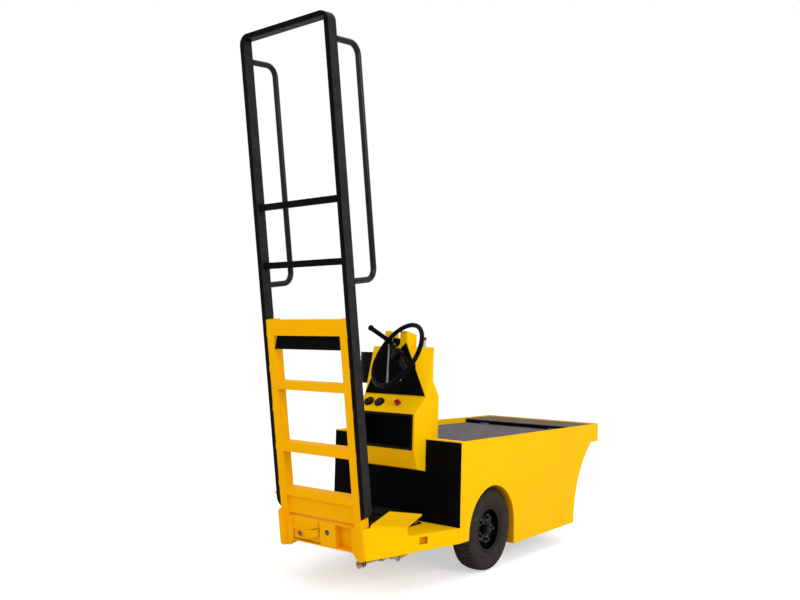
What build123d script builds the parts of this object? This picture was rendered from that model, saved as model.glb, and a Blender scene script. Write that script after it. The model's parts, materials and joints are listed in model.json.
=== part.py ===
from build123d import *
from math import cos, hypot, radians, sin, sqrt, tan
import os

os.makedirs("parts", exist_ok=True)

# Electric order-picking tow tractor with a ladder. Millimetres.
# +X is forward, towards the cargo deck, +Y is left, +Z is up.
# Distances called "ahead" are measured forward from the rear face of the bulkhead.

# Cargo body
body_length = 1580.0
body_width = 787.0
body_height = 659.0
body_clearance = 99.0
sheet = 5.0
nose_foot = 1238.0
lip_depth = 100.0
lip_height = 109.0
shelf_start = 1275.0
shelf_drop = 7.0
deck_drop = 32.0
ledge_width = 30.0
coaming_depth = 40.0
lid_gap = 6.0
tab_drop = 1.0
hinge_radius = 5.0
hinge_pin_radius = 2.5
hinge_gap = 0.5
knuckle_spread = 300.0
knuckle_length = 60.0
knuckle_gap = 1.0

# Wheels
tyre_radius = 203.0
tyre_width = 107.0
bead_gap = 2.0
sidewall_foot = 22.0
sidewall_inset = 4.0
sidewall_swell = 14.0
shoulder_inset = 8.0
shoulder_drop = 12.0
tread_edge = 18.0
tread_drop = 2.0
rim_radius = 108.0
rim_flange_radius = 118.0
bead_width = 74.0
rim_sheet = 4.0
rim_flange = 5.0
disc_inset = 2.0
disc_sheet = 5.0
disc_face = 21.0
disc_flat = 66.0
disc_shoulder = 84.0
disc_overlap = 2.0
hub_drum_radius = 42.0
hub_reach = 28.0
hub_cap_radius = 30.0
hub_cap_height = 15.0
bore_depth = 15.0
overcut = 1.0
wheel_inset = 12.0
rear_axle_ahead = 305.0
front_axle_ahead = 990.0
arch_gap = 16.0
well_depth = 126.0
well_sheet = 4.0
well_hole_gap = 6.0
spindle_radius = 17.0
running_gap = 0.05
seat_gap = 0.3

# Standing platform
platform_length = 490.0
platform_rear_width = 520.0
floor_height = 258.0
skirt_rear_low = 176.0
skirt_front_low = 186.0
mat_half = 205.0
mat_margin = 32.0
mat_corner = 20.0
mat_thickness = 6.0
hand_hole_length = 48.0
hand_hole_height = 32.0
hand_hole_ahead = -208.0
hand_hole_low = 212.0
guard_rear_ahead = -495.0
guard_rear_foot = 300.0
guard_front_ahead = -300.0
guard_front_foot = 270.0
guard_stand = 15.0
guard_bend = 25.0
guard_slope = 40.0
guard_rise = 97.0
guard_corner = 14.0
guard_rake = 18.0
platform_overrun = 60.0

# Chassis rails
rail_width = 36.0
rail_well_gap = 6.5
rail_low = 190.0
rail_rear_ahead = -420.0
rail_skirt_gap = 24.0
rail_front_ahead = 1215.0

# Drive axle and battery
axle_tube_radius = 30.0
motor_radius = 82.0
motor_length = 230.0
hub_gap = 1.0
battery_length = 370.0
battery_gap = 20.0
battery_corner = 10.0
battery_height = 300.0
battery_rear_ahead = 396.0
tray_sheet = 6.0
tray_margin = 10.0

# Steered fork
fork_gap = 9.0
fork_leg_width = 50.0
fork_leg_thickness = 14.0
fork_pin_proud = 8.0
crown_margin = 10.0
crown_corner = 12.0
crown_height = 22.0
tyre_crown_gap = 12.0
stem_radius = 25.0
stem_nut_radius = 34.0
stem_nut_height = 10.0
head_tube_radius = 42.0
head_tube_length = 80.0
portal_beam_width = 70.0
portal_beam_height = 50.0
portal_post_width = 60.0
portal_lift = 15.0
portal_step = 1.0

# Console tower
tower_width = 380.0
tower_low = 501.0
tower_bottom_rear = 517.0
tower_bottom_reach = 71.0
tower_box_low = 607.0
tower_box_reach = 98.0
tower_box_high = 782.0
cover_low = 860.0
cover_reach = 12.0
tower_top = 1102.0
tower_top_front = 50.0
tower_front_break_high = 936.0
tower_front_break_low = 861.0
tower_front = 102.0
horn_top = 1180.0
horn_front_top = 1164.0
horn_front_half = 83.0
tower_sheet = 4.0
facet_peak_half = 68.0
facet_peak_height = 1125.0
notch_half = 28.0
notch_low = 1099.0
cover_sheet = 3.0
cover_margin = 3.0
cover_notch_half = 24.0
cover_notch_low = 1085.0
glove_width = 360.0
glove_high = 778.0
glove_depth = 88.0
glove_wall = 4.0
gauge_radius = 23.0
gauge_proud = 7.0
key_radius = 12.0
key_proud = 16.0
gauge_places = (126.0, 59.0)
key_place = -57.0
knob_ahead = 36.0
knob_inset = 50.0
knob_stem_radius = 7.5
knob_stem_length = 33.0
knob_cap_radius = 10.0
knob_cap_length = 16.0
holder_radius = 43.0
holder_ahead = 77.0
holder_gap = 10.0
holder_low = 909.0
holder_high = 1070.0
holder_wall = 4.0
holder_taper = 40.0
holder_foot_radius = 34.0
bracket_width = 24.0
bracket_height = 60.0

# Steering
wheel_ring_radius = 169.0
wheel_grip_radius = 11.0
wheel_centre_ahead = -134.0
wheel_centre_side = -103.0
wheel_centre_height = 1061.0
wheel_lift = 29.5
wheel_turn = 20.0
spoke_count = 2
spoke_width = 26.0
spoke_thickness = 7.0
hub_radius = 30.0
hub_length = 28.0
shaft_recess = 6.0
shaft_radius = 11.0
column_radius = 17.0
column_foot_radius = 27.0
column_foot_side = -90.0
column_foot_height = 1003.0
spinner_length = 125.0
spinner_radius = 11.0
spinner_cap_radius = 14.0
spinner_angle = 51.0
spoke_angle = 50.0
selector_radius = 13.0
selector_rear = 22.0
selector_front = 34.0
selector_height = 1131.0
selector_foot_half = 11.0

# Ladder
ladder_foot = 485.0
ladder_lean = 8.97
ladder_length = 2495.0
hoop_half = 264.0
hoop_tube_width = 24.0
hoop_tube_depth = 50.0
hoop_corner = 45.0
hoop_low = 350.0
rung_height = 29.0
rung_depth = 25.0
rung_tops = (1742.0, 1479.0)
stile_width = 41.0
panel_low = 328.0
panel_setback = 14.0
lower_ladder_top = 1222.0
base_panel_top = 408.0
ladder_plate = 6.0
top_plate_low = 1149.0
kick_low = 1088.0
kick_lean = 25.0
kick_sheet = 3.0
rail_tube_radius = 13.5
handrail_reach = 144.0
handrail_bend = 50.0
handrail_low = 1377.0
handrail_high = 2384.0
step_rows = (
    # top of the step along the ladder, height of its front face
    (940.0, 36.0),
    (661.0, 43.0),
    (448.0, 36.0),
)

# Rear beam and hitch
beam_low = 202.0
beam_top = 318.0
beam_depth = 50.0
beam_setback = 4.0
beam_wall = 6.0
ear_width = 72.0
ear_chamfer = 24.0
ear_low = 177.0
ear_bevel = 8.0
ear_top = 345.0
ear_flange = 36.0
ear_proud = 12.0
ear_skirt_gap = 5.0
block_left = 11.0
block_right = 82.0
block_edge = 4.0
bolt_radius = 10.0
bolt_depth = 30.0
bolt_side = -37.0
bolt_height = 272.0
latch_pivot = (116.0, 250.0)
latch_end_radius = 18.0
latch_tip = (14.0, 267.0)
latch_tip_half = 16.0
latch_sag = 9.0
latch_thickness = 10.0
latch_boss_radius = 9.0
guide_edge = (
    # lower edge of the latch's guide plate: side, height along the ladder
    (15.0, 284.0),
    (60.0, 270.0),
    (116.0, 258.0),
)

# Pedal
pedal_left = 112.0
pedal_right = 118.0
pedal_top = 297.0
pedal_reach = 62.0
pedal_plate = 6.0

# Worked out from the sizes above
lean_sin = sin(radians(ladder_lean))
lean_cos = cos(radians(ladder_lean))
ladder_reach = ladder_foot + ladder_length * lean_sin
wall_x = (ladder_reach - body_length) / 2
half = body_width / 2
inner_half = half - sheet
axle_height = tyre_radius
arch_radius = tyre_radius + arch_gap
rear_x = wall_x + rear_axle_ahead
steer_x = wall_x + front_axle_ahead
front_x = wall_x + body_length
arch_rear = rear_x - arch_radius
arch_front = rear_x + arch_radius
lip_low = body_height - lip_height
deck_top = body_height - deck_drop
shelf_top = body_height - shelf_drop
rail_height = floor_height - sheet - seat_gap - rail_low
rail_inner = inner_half - well_depth - rail_well_gap - rail_width
nose_rise = lip_low - body_clearance
nose_run = body_length - lip_depth - nose_foot
nose_radius = (nose_rise**2 + nose_run**2) / (2 * nose_run)
tyre_outer = half - wheel_inset
tyre_mid = tyre_outer - tyre_width / 2
battery_width = 2 * (rail_inner - battery_gap)
flare = (half - platform_rear_width / 2) / platform_length
flare_length = hypot(1, flare)
skirt_inset = sheet * flare_length
sides = (
    # name, sign of Y
    ("left", 1),
    ("right", -1),
)
ladder_plane = Plane(
    origin=(wall_x - ladder_foot, 0, 0), x_dir=(0, 1, 0), z_dir=(lean_cos, 0, lean_sin)
)


def ahead(distance):
    """X of a place measured forward from the bulkhead."""
    return wall_x + distance


def platform_half(distance):
    """Half of the platform's outer width at a place behind the bulkhead."""
    return half + distance * flare


def finish(solid, name):
    """Labels a finished piece and writes it."""
    solid.label = name
    export_step(solid, f"parts/{name}.step")


# Body sides with their wheel arches and the ledges that carry the deck lid
for name, sign in sides:
    with BuildPart() as side_panel:
        with BuildSketch(Plane.XZ.offset(-half if sign > 0 else inner_half)):
            with BuildLine():
                Polyline(
                    (ahead(0), skirt_front_low), (arch_rear, skirt_front_low), (arch_rear, axle_height)
                )
                ThreePointArc(
                    (arch_rear, axle_height), (rear_x, axle_height + arch_radius), (arch_front, axle_height)
                )
                Polyline(
                    (arch_front, axle_height),
                    (arch_front, body_clearance),
                    (ahead(nose_foot), body_clearance),
                )
                TangentArc(
                    (ahead(nose_foot), body_clearance), (front_x - lip_depth, lip_low), tangent=(0, 1)
                )
                Polyline(
                    (front_x - lip_depth, lip_low),
                    (front_x, lip_low),
                    (front_x, body_height),
                    (ahead(0), body_height),
                    (ahead(0), body_height - sheet),
                    (ahead(sheet), body_height - sheet),
                    (ahead(sheet), floor_height),
                    (ahead(0), floor_height),
                    (ahead(0), skirt_front_low),
                )
            make_face()
        extrude(amount=sheet)
        ledge_top = deck_top - sheet - seat_gap
        with BuildSketch(Plane.XZ.offset(-inner_half if sign > 0 else inner_half - ledge_width)):
            with Locations((ahead((coaming_depth + shelf_start - sheet) / 2), ledge_top - sheet / 2)):
                Rectangle(shelf_start - sheet - coaming_depth, sheet)
        extrude(amount=ledge_width)
    finish(side_panel.part, f"side_panel_{name}")

# Curved nose sheet with its lip
inner_nose_x = ahead(nose_foot) + nose_radius - sqrt(
    (nose_radius + sheet) ** 2 - (lip_low + sheet - body_clearance) ** 2
)
with BuildPart() as nose_panel:
    with BuildSketch(Plane.XZ.offset(-inner_half)):
        with BuildLine():
            TangentArc((ahead(nose_foot), body_clearance), (front_x - lip_depth, lip_low), tangent=(0, 1))
            Polyline(
                (front_x - lip_depth, lip_low),
                (front_x, lip_low),
                (front_x, body_height),
                (front_x - sheet, body_height),
                (front_x - sheet, lip_low + sheet),
                (inner_nose_x, lip_low + sheet),
            )
            TangentArc(
                (ahead(nose_foot) - sheet, body_clearance), (inner_nose_x, lip_low + sheet), tangent=(0, 1)
            )
            Line((ahead(nose_foot) - sheet, body_clearance), (ahead(nose_foot), body_clearance))
        make_face()
    extrude(amount=2 * inner_half)
finish(nose_panel.part, "nose_panel")

# Raised shelf at the front
with BuildPart() as front_shelf:
    with BuildSketch(Plane.XY.offset(shelf_top - sheet)):
        with Locations((ahead((shelf_start - sheet + body_length - sheet) / 2), 0)):
            Rectangle(body_length - shelf_start, 2 * inner_half)
    extrude(amount=sheet)
finish(front_shelf.part, "front_shelf")

# Riser under the shelf, with its half of the deck lid's hinge
hinge_x = ahead(shelf_start - sheet) - hinge_radius - hinge_gap
hinge_z = deck_top + hinge_radius / 2
chassis_knuckles = (-knuckle_spread, 0.0, knuckle_spread)
lid_knuckle_side = knuckle_spread - knuckle_length - knuckle_gap
lid_knuckles = (-lid_knuckle_side, lid_knuckle_side)
with BuildPart() as shelf_riser:
    riser_low = deck_top - 2 * sheet
    with BuildSketch(Plane.XY.offset(riser_low)):
        with Locations((ahead(shelf_start - sheet / 2), 0)):
            Rectangle(sheet, 2 * inner_half)
    extrude(amount=shelf_top - sheet - riser_low)
    with Locations(*[Plane.XZ.offset(-y - knuckle_length / 2) for y in chassis_knuckles]):
        with Locations((hinge_x, hinge_z)):
            Cylinder(hinge_radius, knuckle_length, align=(Align.CENTER, Align.CENTER, Align.MIN))
    with Locations(*[(hinge_x + (hinge_radius + hinge_gap) / 2, y, hinge_z) for y in chassis_knuckles]):
        Box(hinge_radius + hinge_gap, knuckle_length, 2 * hinge_radius)
    with Locations(Plane.XZ):
        with Locations((hinge_x, hinge_z)):
            Cylinder(hinge_pin_radius, 2 * knuckle_spread + knuckle_length)
finish(shelf_riser.part, "shelf_riser")

# Deck lid over the battery
lid_rear = tower_front + lid_gap
lid_front = hinge_x - wall_x - hinge_radius - hinge_gap
with BuildPart() as deck_lid:
    with BuildSketch(Plane.XY.offset(deck_top - sheet)):
        with Locations((ahead((lid_rear + lid_front) / 2), 0)):
            Rectangle(lid_front - lid_rear, 2 * (inner_half - lid_gap))
    extrude(amount=sheet)
    with BuildSketch(Plane.XY.offset(deck_top - sheet)):
        with Locations(*[(hinge_x - hinge_radius, y) for y in lid_knuckles]):
            Rectangle(2 * hinge_radius, knuckle_length)
    extrude(amount=sheet - tab_drop)
    with Locations(*[Plane.XZ.offset(-y - knuckle_length / 2) for y in lid_knuckles]):
        with Locations((hinge_x, hinge_z)):
            Cylinder(hinge_radius, knuckle_length, align=(Align.CENTER, Align.CENTER, Align.MIN))
    with Locations(Plane.XZ):
        with Locations((hinge_x, hinge_z)):
            Cylinder(hinge_pin_radius + running_gap, body_width, mode=Mode.SUBTRACT)
finish(deck_lid.part, "deck_lid")

# Bulkhead between the platform and the cargo body, and the flange along its top
with BuildPart() as bulkhead:
    with BuildSketch(Plane.XY.offset(floor_height)):
        with Locations((ahead(sheet / 2), 0)):
            Rectangle(sheet, body_width)
    extrude(amount=body_height - sheet - floor_height)
finish(bulkhead.part, "bulkhead")

with BuildPart() as rear_coaming:
    with BuildSketch(Plane.XY.offset(body_height - sheet)):
        with Locations((ahead(coaming_depth / 2), 0)):
            Rectangle(coaming_depth, 2 * inner_half)
    extrude(amount=sheet)
finish(rear_coaming.part, "rear_coaming")

# Wheel wells, open below and outwards
for name, sign in sides:
    with BuildPart() as wheel_well:
        with BuildSketch(Plane.XZ.offset(-inner_half if sign > 0 else inner_half - well_depth)):
            with Locations((rear_x, axle_height)):
                Circle(arch_radius + well_sheet)
                Rectangle(
                    3 * arch_radius, 2 * axle_height, align=(Align.CENTER, Align.MAX), mode=Mode.SUBTRACT
                )
            with Locations((rear_x, axle_height)):
                Rectangle(
                    arch_radius + well_sheet, axle_height - skirt_front_low, align=(Align.MAX, Align.MAX)
                )
                Rectangle(
                    arch_radius + well_sheet, axle_height - body_clearance, align=(Align.MIN, Align.MAX)
                )
        extrude(amount=well_depth)
        arch_face = -inner_half if sign > 0 else inner_half - well_depth + well_sheet
        with BuildSketch(Plane.XZ.offset(arch_face)):
            with Locations((rear_x, axle_height)):
                Circle(arch_radius)
                Rectangle(2 * arch_radius, axle_height, align=(Align.CENTER, Align.MAX))
        extrude(amount=well_depth - well_sheet, mode=Mode.SUBTRACT)
        with Locations(Plane.XZ):
            with Locations((rear_x, axle_height)):
                Cylinder(axle_tube_radius + well_hole_gap, 2 * body_width, mode=Mode.SUBTRACT)
    finish(wheel_well.part, f"wheel_well_{name}")

# Chassis rails, notched over the axle tube
for name, sign in sides:
    with BuildPart() as rail:
        with BuildSketch(Plane.XZ.offset(-sign * rail_inner - (rail_width if sign > 0 else 0))):
            with Locations((ahead((rail_rear_ahead + rail_front_ahead) / 2), rail_low + rail_height / 2)):
                Rectangle(rail_front_ahead - rail_rear_ahead, rail_height)
            with Locations((rear_x, axle_height)):
                Circle(axle_tube_radius + seat_gap, mode=Mode.SUBTRACT)
            with Locations((rear_x, rail_low)):
                Rectangle(
                    2 * (axle_tube_radius + seat_gap), 2 * (axle_height - rail_low), mode=Mode.SUBTRACT
                )
        extrude(amount=rail_width)
        skirt_line = Plane(
            origin=(ahead(0), sign * (half - skirt_inset - rail_skirt_gap), 0), z_dir=(flare, -sign, 0)
        )
        split(bisect_by=skirt_line, keep=Keep.TOP)
    finish(rail.part, f"rail_{name}")

# Drive axle: tube, motor housing and wheel spindles
hub_face = tyre_mid - hub_reach
with BuildPart() as drive_axle:
    with Locations(Plane.XZ):
        with Locations((rear_x, axle_height)):
            Cylinder(axle_tube_radius, 2 * (hub_face - hub_gap))
            Cylinder(motor_radius, motor_length)
            Cylinder(spindle_radius, 2 * (tyre_mid + bore_depth - hub_gap))
finish(drive_axle.part, "drive_axle")

# Battery and its tray between the rails
tray_low = rail_low + rail_height
with BuildPart() as battery_tray:
    with BuildSketch(Plane.XY.offset(tray_low)):
        with Locations((ahead(battery_rear_ahead + battery_length / 2), 0)):
            Rectangle(battery_length + 2 * tray_margin, 2 * (rail_inner + rail_width))
    extrude(amount=tray_sheet)
finish(battery_tray.part, "battery_tray")

with BuildPart() as battery:
    with BuildSketch(Plane.XY.offset(tray_low + tray_sheet)):
        with Locations((ahead(battery_rear_ahead + battery_length / 2), 0)):
            RectangleRounded(battery_length, battery_width, battery_corner)
    extrude(amount=battery_height)
finish(battery.part, "battery")

# Portal over the steered wheel, with the head tube
crown_low = 2 * tyre_radius + tyre_crown_gap
head_low = crown_low + crown_height + seat_gap
beam_high = head_low + portal_lift + portal_beam_height
with BuildPart() as front_portal:
    with BuildSketch(Plane.XY.offset(beam_high - portal_beam_height)):
        with Locations((steer_x, 0)):
            Rectangle(portal_beam_width, 2 * (rail_inner + rail_width))
    extrude(amount=portal_beam_height)
    with BuildSketch(Plane.XY.offset(rail_low + rail_height)):
        with Locations(*[(steer_x, side * (rail_inner + rail_width / 2)) for side in (1, -1)]):
            Rectangle(portal_post_width, rail_width)
    extrude(amount=beam_high - rail_low - rail_height - portal_step)
    with Locations((steer_x, 0, head_low)):
        Cylinder(head_tube_radius, head_tube_length, align=(Align.CENTER, Align.CENTER, Align.MIN))
    with Locations((steer_x, 0, head_low)):
        Cylinder(stem_radius + running_gap, 4 * head_tube_length, mode=Mode.SUBTRACT)
finish(front_portal.part, "front_portal")

# Steered fork
fork_inner = tyre_width / 2 + fork_gap
fork_outer = fork_inner + fork_leg_thickness
with BuildPart() as steer_fork:
    with BuildSketch(Plane.XY.offset(crown_low)):
        with Locations((steer_x, 0)):
            RectangleRounded(fork_leg_width + 2 * crown_margin, 2 * fork_outer, crown_corner)
    extrude(amount=crown_height)
    for side in (1, -1):
        with BuildSketch(Plane.XZ.offset(-fork_outer if side > 0 else fork_inner)):
            with Locations((steer_x, axle_height)):
                Circle(fork_leg_width / 2)
            with Locations((steer_x, (axle_height + crown_low) / 2)):
                Rectangle(fork_leg_width, crown_low - axle_height)
        extrude(amount=fork_leg_thickness)
    with Locations((steer_x, 0, crown_low + crown_height)):
        Cylinder(
            stem_radius,
            head_tube_length + 2 * seat_gap + stem_nut_height,
            align=(Align.CENTER, Align.CENTER, Align.MIN),
        )
    with Locations((steer_x, 0, head_low + head_tube_length + seat_gap)):
        Cylinder(stem_nut_radius, stem_nut_height, align=(Align.CENTER, Align.CENTER, Align.MIN))
    with Locations(Plane.XZ):
        with Locations((steer_x, axle_height)):
            Cylinder(spindle_radius, 2 * (fork_outer + fork_pin_proud))
finish(steer_fork.part, "steer_fork")

# Wheels: pressed steel rims and tyres
wheel_table = (
    # name, ahead, middle of the tread in Y, side that the dish faces
    ("rear_left", rear_axle_ahead, tyre_mid, 1),
    ("rear_right", rear_axle_ahead, -tyre_mid, -1),
    ("front", front_axle_ahead, 0.0, 1),
)
for name, along, middle, facing in wheel_table:
    wheel_plane = Plane(
        origin=(ahead(along), middle, axle_height), x_dir=(1, 0, 0), z_dir=(0, facing, 0)
    )
    bead = bead_width / 2
    through = name == "front"
    with BuildPart() as rim:
        with BuildSketch(Plane(wheel_plane.origin, x_dir=(0, facing, 0), z_dir=(facing, 0, 0))):
            with Locations((0, rim_radius - rim_sheet / 2)):
                Rectangle(2 * (bead + rim_flange), rim_sheet)
            with Locations(*[(end * (bead + rim_flange / 2), rim_radius) for end in (1, -1)]):
                Rectangle(rim_flange, 2 * (rim_flange_radius - rim_radius))
            with BuildLine():
                Polyline(
                    (disc_inset, rim_radius - rim_sheet / 2),
                    (disc_inset + disc_sheet, rim_radius - rim_sheet / 2),
                    (disc_inset + disc_sheet, disc_shoulder),
                    (disc_face, disc_flat),
                    (disc_face, hub_drum_radius / 2),
                    (disc_face - disc_sheet, hub_drum_radius / 2),
                    (disc_face - disc_sheet, disc_flat - disc_overlap),
                    (disc_inset, disc_shoulder - disc_overlap),
                    close=True,
                )
            make_face()
            with Locations((0, hub_drum_radius / 2)):
                Rectangle(hub_reach, hub_drum_radius, align=(Align.MAX, Align.CENTER))
                Rectangle(disc_face, hub_drum_radius, align=(Align.MIN, Align.CENTER))
            with Locations((disc_face, hub_cap_radius / 2)):
                Rectangle(hub_cap_height, hub_cap_radius, align=(Align.MIN, Align.CENTER))
        revolve(axis=Axis(wheel_plane.origin, (0, 1, 0)))
        bore_end = disc_face + hub_cap_height + overcut if through else bore_depth
        with BuildSketch(wheel_plane.offset(-hub_reach - overcut)):
            Circle(spindle_radius + running_gap)
        extrude(amount=hub_reach + overcut + bore_end, mode=Mode.SUBTRACT)
    finish(rim.part, f"rim_{name}")

    with BuildPart() as tyre:
        with BuildSketch(Plane(wheel_plane.origin, x_dir=(0, facing, 0), z_dir=(1, 0, 0))):
            tread = tyre_width / 2
            sidewall = (tread - sidewall_inset, rim_flange_radius + sidewall_foot)
            swell = (tread, (rim_flange_radius + tyre_radius) / 2 + sidewall_swell)
            shoulder = (tread - shoulder_inset, tyre_radius - shoulder_drop)
            edge = (tread - tread_edge, tyre_radius - tread_drop)
            with BuildLine():
                Polyline(
                    (-bead, rim_radius), (-bead, rim_flange_radius + bead_gap), (-sidewall[0], sidewall[1])
                )
                ThreePointArc((-sidewall[0], sidewall[1]), (-swell[0], swell[1]), (-shoulder[0], shoulder[1]))
                Polyline(
                    (-shoulder[0], shoulder[1]), (-edge[0], edge[1]), (0, tyre_radius), edge, shoulder
                )
                ThreePointArc(shoulder, swell, sidewall)
                Polyline(
                    sidewall, (bead, rim_flange_radius + bead_gap), (bead, rim_radius), (-bead, rim_radius)
                )
            make_face()
        revolve(axis=Axis(wheel_plane.origin, (0, 1, 0)))
    finish(tyre.part, f"tyre_{name}")

# Rear beam, a channel open to the rear, with the ears that close the skirts' ends
beam_front_plane = ladder_plane.offset(beam_depth)
ear_half = platform_half(-ladder_foot - (ear_low + ear_top) / 2 * lean_sin)
ear_inner = ear_half - ear_flange
ear_block_half = ear_half - skirt_inset - ear_skirt_gap
beam_half = ear_half - ear_width
with BuildPart() as hitch_frame:
    for side in (1, -1):
        with BuildSketch(ladder_plane):
            with BuildLine():
                Polyline(
                    (side * beam_half, beam_low),
                    (side * (beam_half + ear_chamfer), ear_low),
                    (side * ear_block_half, ear_low),
                    (side * ear_block_half, beam_top),
                    (side * beam_half, beam_top),
                    close=True,
                )
            make_face()
        extrude(amount=beam_depth)
        with BuildSketch(ladder_plane):
            with BuildLine():
                Polyline(
                    (side * (ear_inner + ear_bevel), ear_low),
                    (side * (ear_half - ear_bevel), ear_low),
                    (side * ear_half, ear_low + ear_bevel),
                    (side * ear_half, ear_top - ear_bevel),
                    (side * (ear_half - ear_bevel), ear_top),
                    (side * ear_inner, ear_top),
                    (side * ear_inner, ear_low + ear_bevel),
                    close=True,
                )
            make_face()
        extrude(amount=-ear_proud)
    with BuildSketch(beam_front_plane):
        with Locations((0, (beam_low + beam_top) / 2)):
            Rectangle(2 * beam_half, beam_top - beam_low)
    extrude(amount=-beam_wall)
    with BuildSketch(ladder_plane.offset(beam_setback)):
        with Locations((0, beam_low + beam_wall / 2), (0, beam_top - beam_wall / 2)):
            Rectangle(2 * beam_half, beam_wall)
    extrude(amount=beam_depth - beam_setback)
    with BuildSketch(ladder_plane.offset(beam_setback)):
        with BuildLine():
            Polyline(
                *guide_edge,
                (beam_half, guide_edge[-1][1]),
                (beam_half, beam_top),
                (guide_edge[0][0], beam_top),
                close=True,
            )
        make_face()
    extrude(amount=beam_wall)
finish(hitch_frame.part, "hitch_frame")

# Tow hitch: a block in the channel with a threaded bore, and the latch arm beside it
with BuildPart() as hitch_block:
    with BuildSketch(ladder_plane):
        with Locations(((block_left - block_right) / 2, (beam_low + beam_top) / 2)):
            Rectangle(block_left + block_right, beam_top - beam_low - 2 * beam_wall)
    extrude(amount=beam_depth - beam_wall)
    chamfer(hitch_block.faces().sort_by(Axis.X)[0].edges(), block_edge)
    with BuildSketch(ladder_plane):
        with Locations((bolt_side, bolt_height)):
            Circle(bolt_radius)
    extrude(amount=bolt_depth, mode=Mode.SUBTRACT)
finish(hitch_block.part, "hitch_block")

with BuildPart() as hitch_latch:
    pivot_y, pivot_s = latch_pivot
    tip_y, tip_s = latch_tip
    middle_y = (pivot_y + tip_y) / 2
    with BuildSketch(ladder_plane.offset(beam_setback)):
        with BuildLine():
            ThreePointArc(
                (tip_y, tip_s + latch_tip_half),
                (middle_y, (pivot_s + tip_s) / 2 + latch_end_radius - latch_sag),
                (pivot_y, pivot_s + latch_end_radius),
            )
            ThreePointArc(
                (pivot_y, pivot_s + latch_end_radius),
                (pivot_y + latch_end_radius, pivot_s),
                (pivot_y, pivot_s - latch_end_radius),
            )
            ThreePointArc(
                (pivot_y, pivot_s - latch_end_radius),
                (middle_y, (pivot_s + tip_s) / 2 - latch_end_radius - latch_sag),
                (tip_y, tip_s - latch_tip_half),
            )
            Line((tip_y, tip_s - latch_tip_half), (tip_y, tip_s + latch_tip_half))
        make_face()
    extrude(amount=-latch_thickness)
    with BuildSketch(ladder_plane.offset(beam_setback)):
        with Locations(latch_pivot):
            Circle(latch_boss_radius)
    extrude(amount=-2 * latch_thickness)
finish(hitch_latch.part, "hitch_latch")

# Platform floor, mat and side skirts with their foot guards
with BuildPart() as platform_floor:
    with BuildSketch(Plane.XY.offset(floor_height - sheet)):
        with BuildLine():
            back = -platform_length - platform_overrun
            Polyline(
                (ahead(back), platform_half(back) - skirt_inset),
                (ahead(0), half - skirt_inset),
                (ahead(sheet), half - skirt_inset),
                (ahead(sheet), -half + skirt_inset),
                (ahead(0), -half + skirt_inset),
                (ahead(back), -platform_half(back) + skirt_inset),
                close=True,
            )
        make_face()
    extrude(amount=sheet)
    split(bisect_by=beam_front_plane, keep=Keep.TOP)
finish(platform_floor.part, "platform_floor")

with BuildPart() as floor_mat:
    with BuildSketch(Plane.XY.offset(floor_height)):
        with Locations((ahead(-(platform_length + mat_margin - beam_depth) / 2), 0)):
            RectangleRounded(platform_length - mat_margin - beam_depth, 2 * mat_half, mat_corner)
    extrude(amount=mat_thickness)
finish(floor_mat.part, "floor_mat")

guard_turn = radians(90 - guard_slope)
guard_knee_out = guard_bend * (1 - cos(guard_turn))
guard_knee_up = guard_stand + guard_bend * sin(guard_turn)
guard_reach = guard_knee_out + (guard_rise + sheet - guard_knee_up) / tan(radians(guard_slope))
for name, sign in sides:
    foot = Vector(
        ahead(guard_front_ahead), sign * (platform_half(guard_front_ahead) - sheet / 2), guard_front_foot
    )
    head = Vector(
        ahead(guard_rear_ahead), sign * (platform_half(guard_rear_ahead) - sheet / 2), guard_rear_foot
    )
    with BuildPart() as guard:
        with BuildSketch(Plane(origin=foot, x_dir=(0, sign, 0), z_dir=(sign, 0, 0))):
            with BuildLine():
                Line((0, -sheet), (0, guard_stand))
                RadiusArc((0, guard_stand), (guard_knee_out, guard_knee_up), guard_bend)
                Line((guard_knee_out, guard_knee_up), (guard_reach, guard_rise + sheet))
            trace(line_width=sheet)
        extrude(amount=(head - foot).length, dir=(head - foot).normalized())
        with BuildSketch(Plane.XZ) as outline:
            with BuildLine():
                Polyline(
                    (foot.X, foot.Z - sheet),
                    (foot.X, foot.Z + guard_rise),
                    (head.X + guard_rake, head.Z + guard_rise),
                    (head.X, head.Z + guard_stand),
                    (head.X, head.Z - sheet),
                    close=True,
                )
            make_face()
            fillet(outline.vertices().group_by(Axis.X)[-1].sort_by(Axis.Y)[-1], guard_corner)
        extrude(amount=half, both=True, mode=Mode.INTERSECT)

    side_dir = Vector(1, sign * flare, 0).normalized()
    side_plane = Plane(
        origin=(ahead(0), sign * half, 0), x_dir=side_dir, z_dir=side_dir.cross(Vector(0, 0, 1))
    )
    back = (-platform_length - platform_overrun) * flare_length
    with BuildPart() as skirt:
        with BuildSketch(side_plane.offset(0 if sign > 0 else -sheet)):
            with BuildLine():
                Polyline(
                    (back, skirt_rear_low),
                    (-sheet * flare, skirt_front_low),
                    (-sheet * flare, floor_height),
                    (guard_front_ahead * flare_length + guard_front_foot - floor_height, floor_height),
                    (guard_front_ahead * flare_length, guard_front_foot),
                    (guard_rear_ahead * flare_length, guard_rear_foot),
                    (guard_rear_ahead * flare_length, guard_rear_foot + guard_stand),
                    (back, guard_rear_foot + guard_stand),
                    close=True,
                )
            make_face()
            with Locations((hand_hole_ahead * flare_length, hand_hole_low + hand_hole_height / 2)):
                Rectangle(hand_hole_length, hand_hole_height, mode=Mode.SUBTRACT)
        extrude(amount=sheet)
        add(guard.part)
        split(bisect_by=ladder_plane, keep=Keep.TOP)
    finish(skirt.part, f"skirt_{name}")

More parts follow.
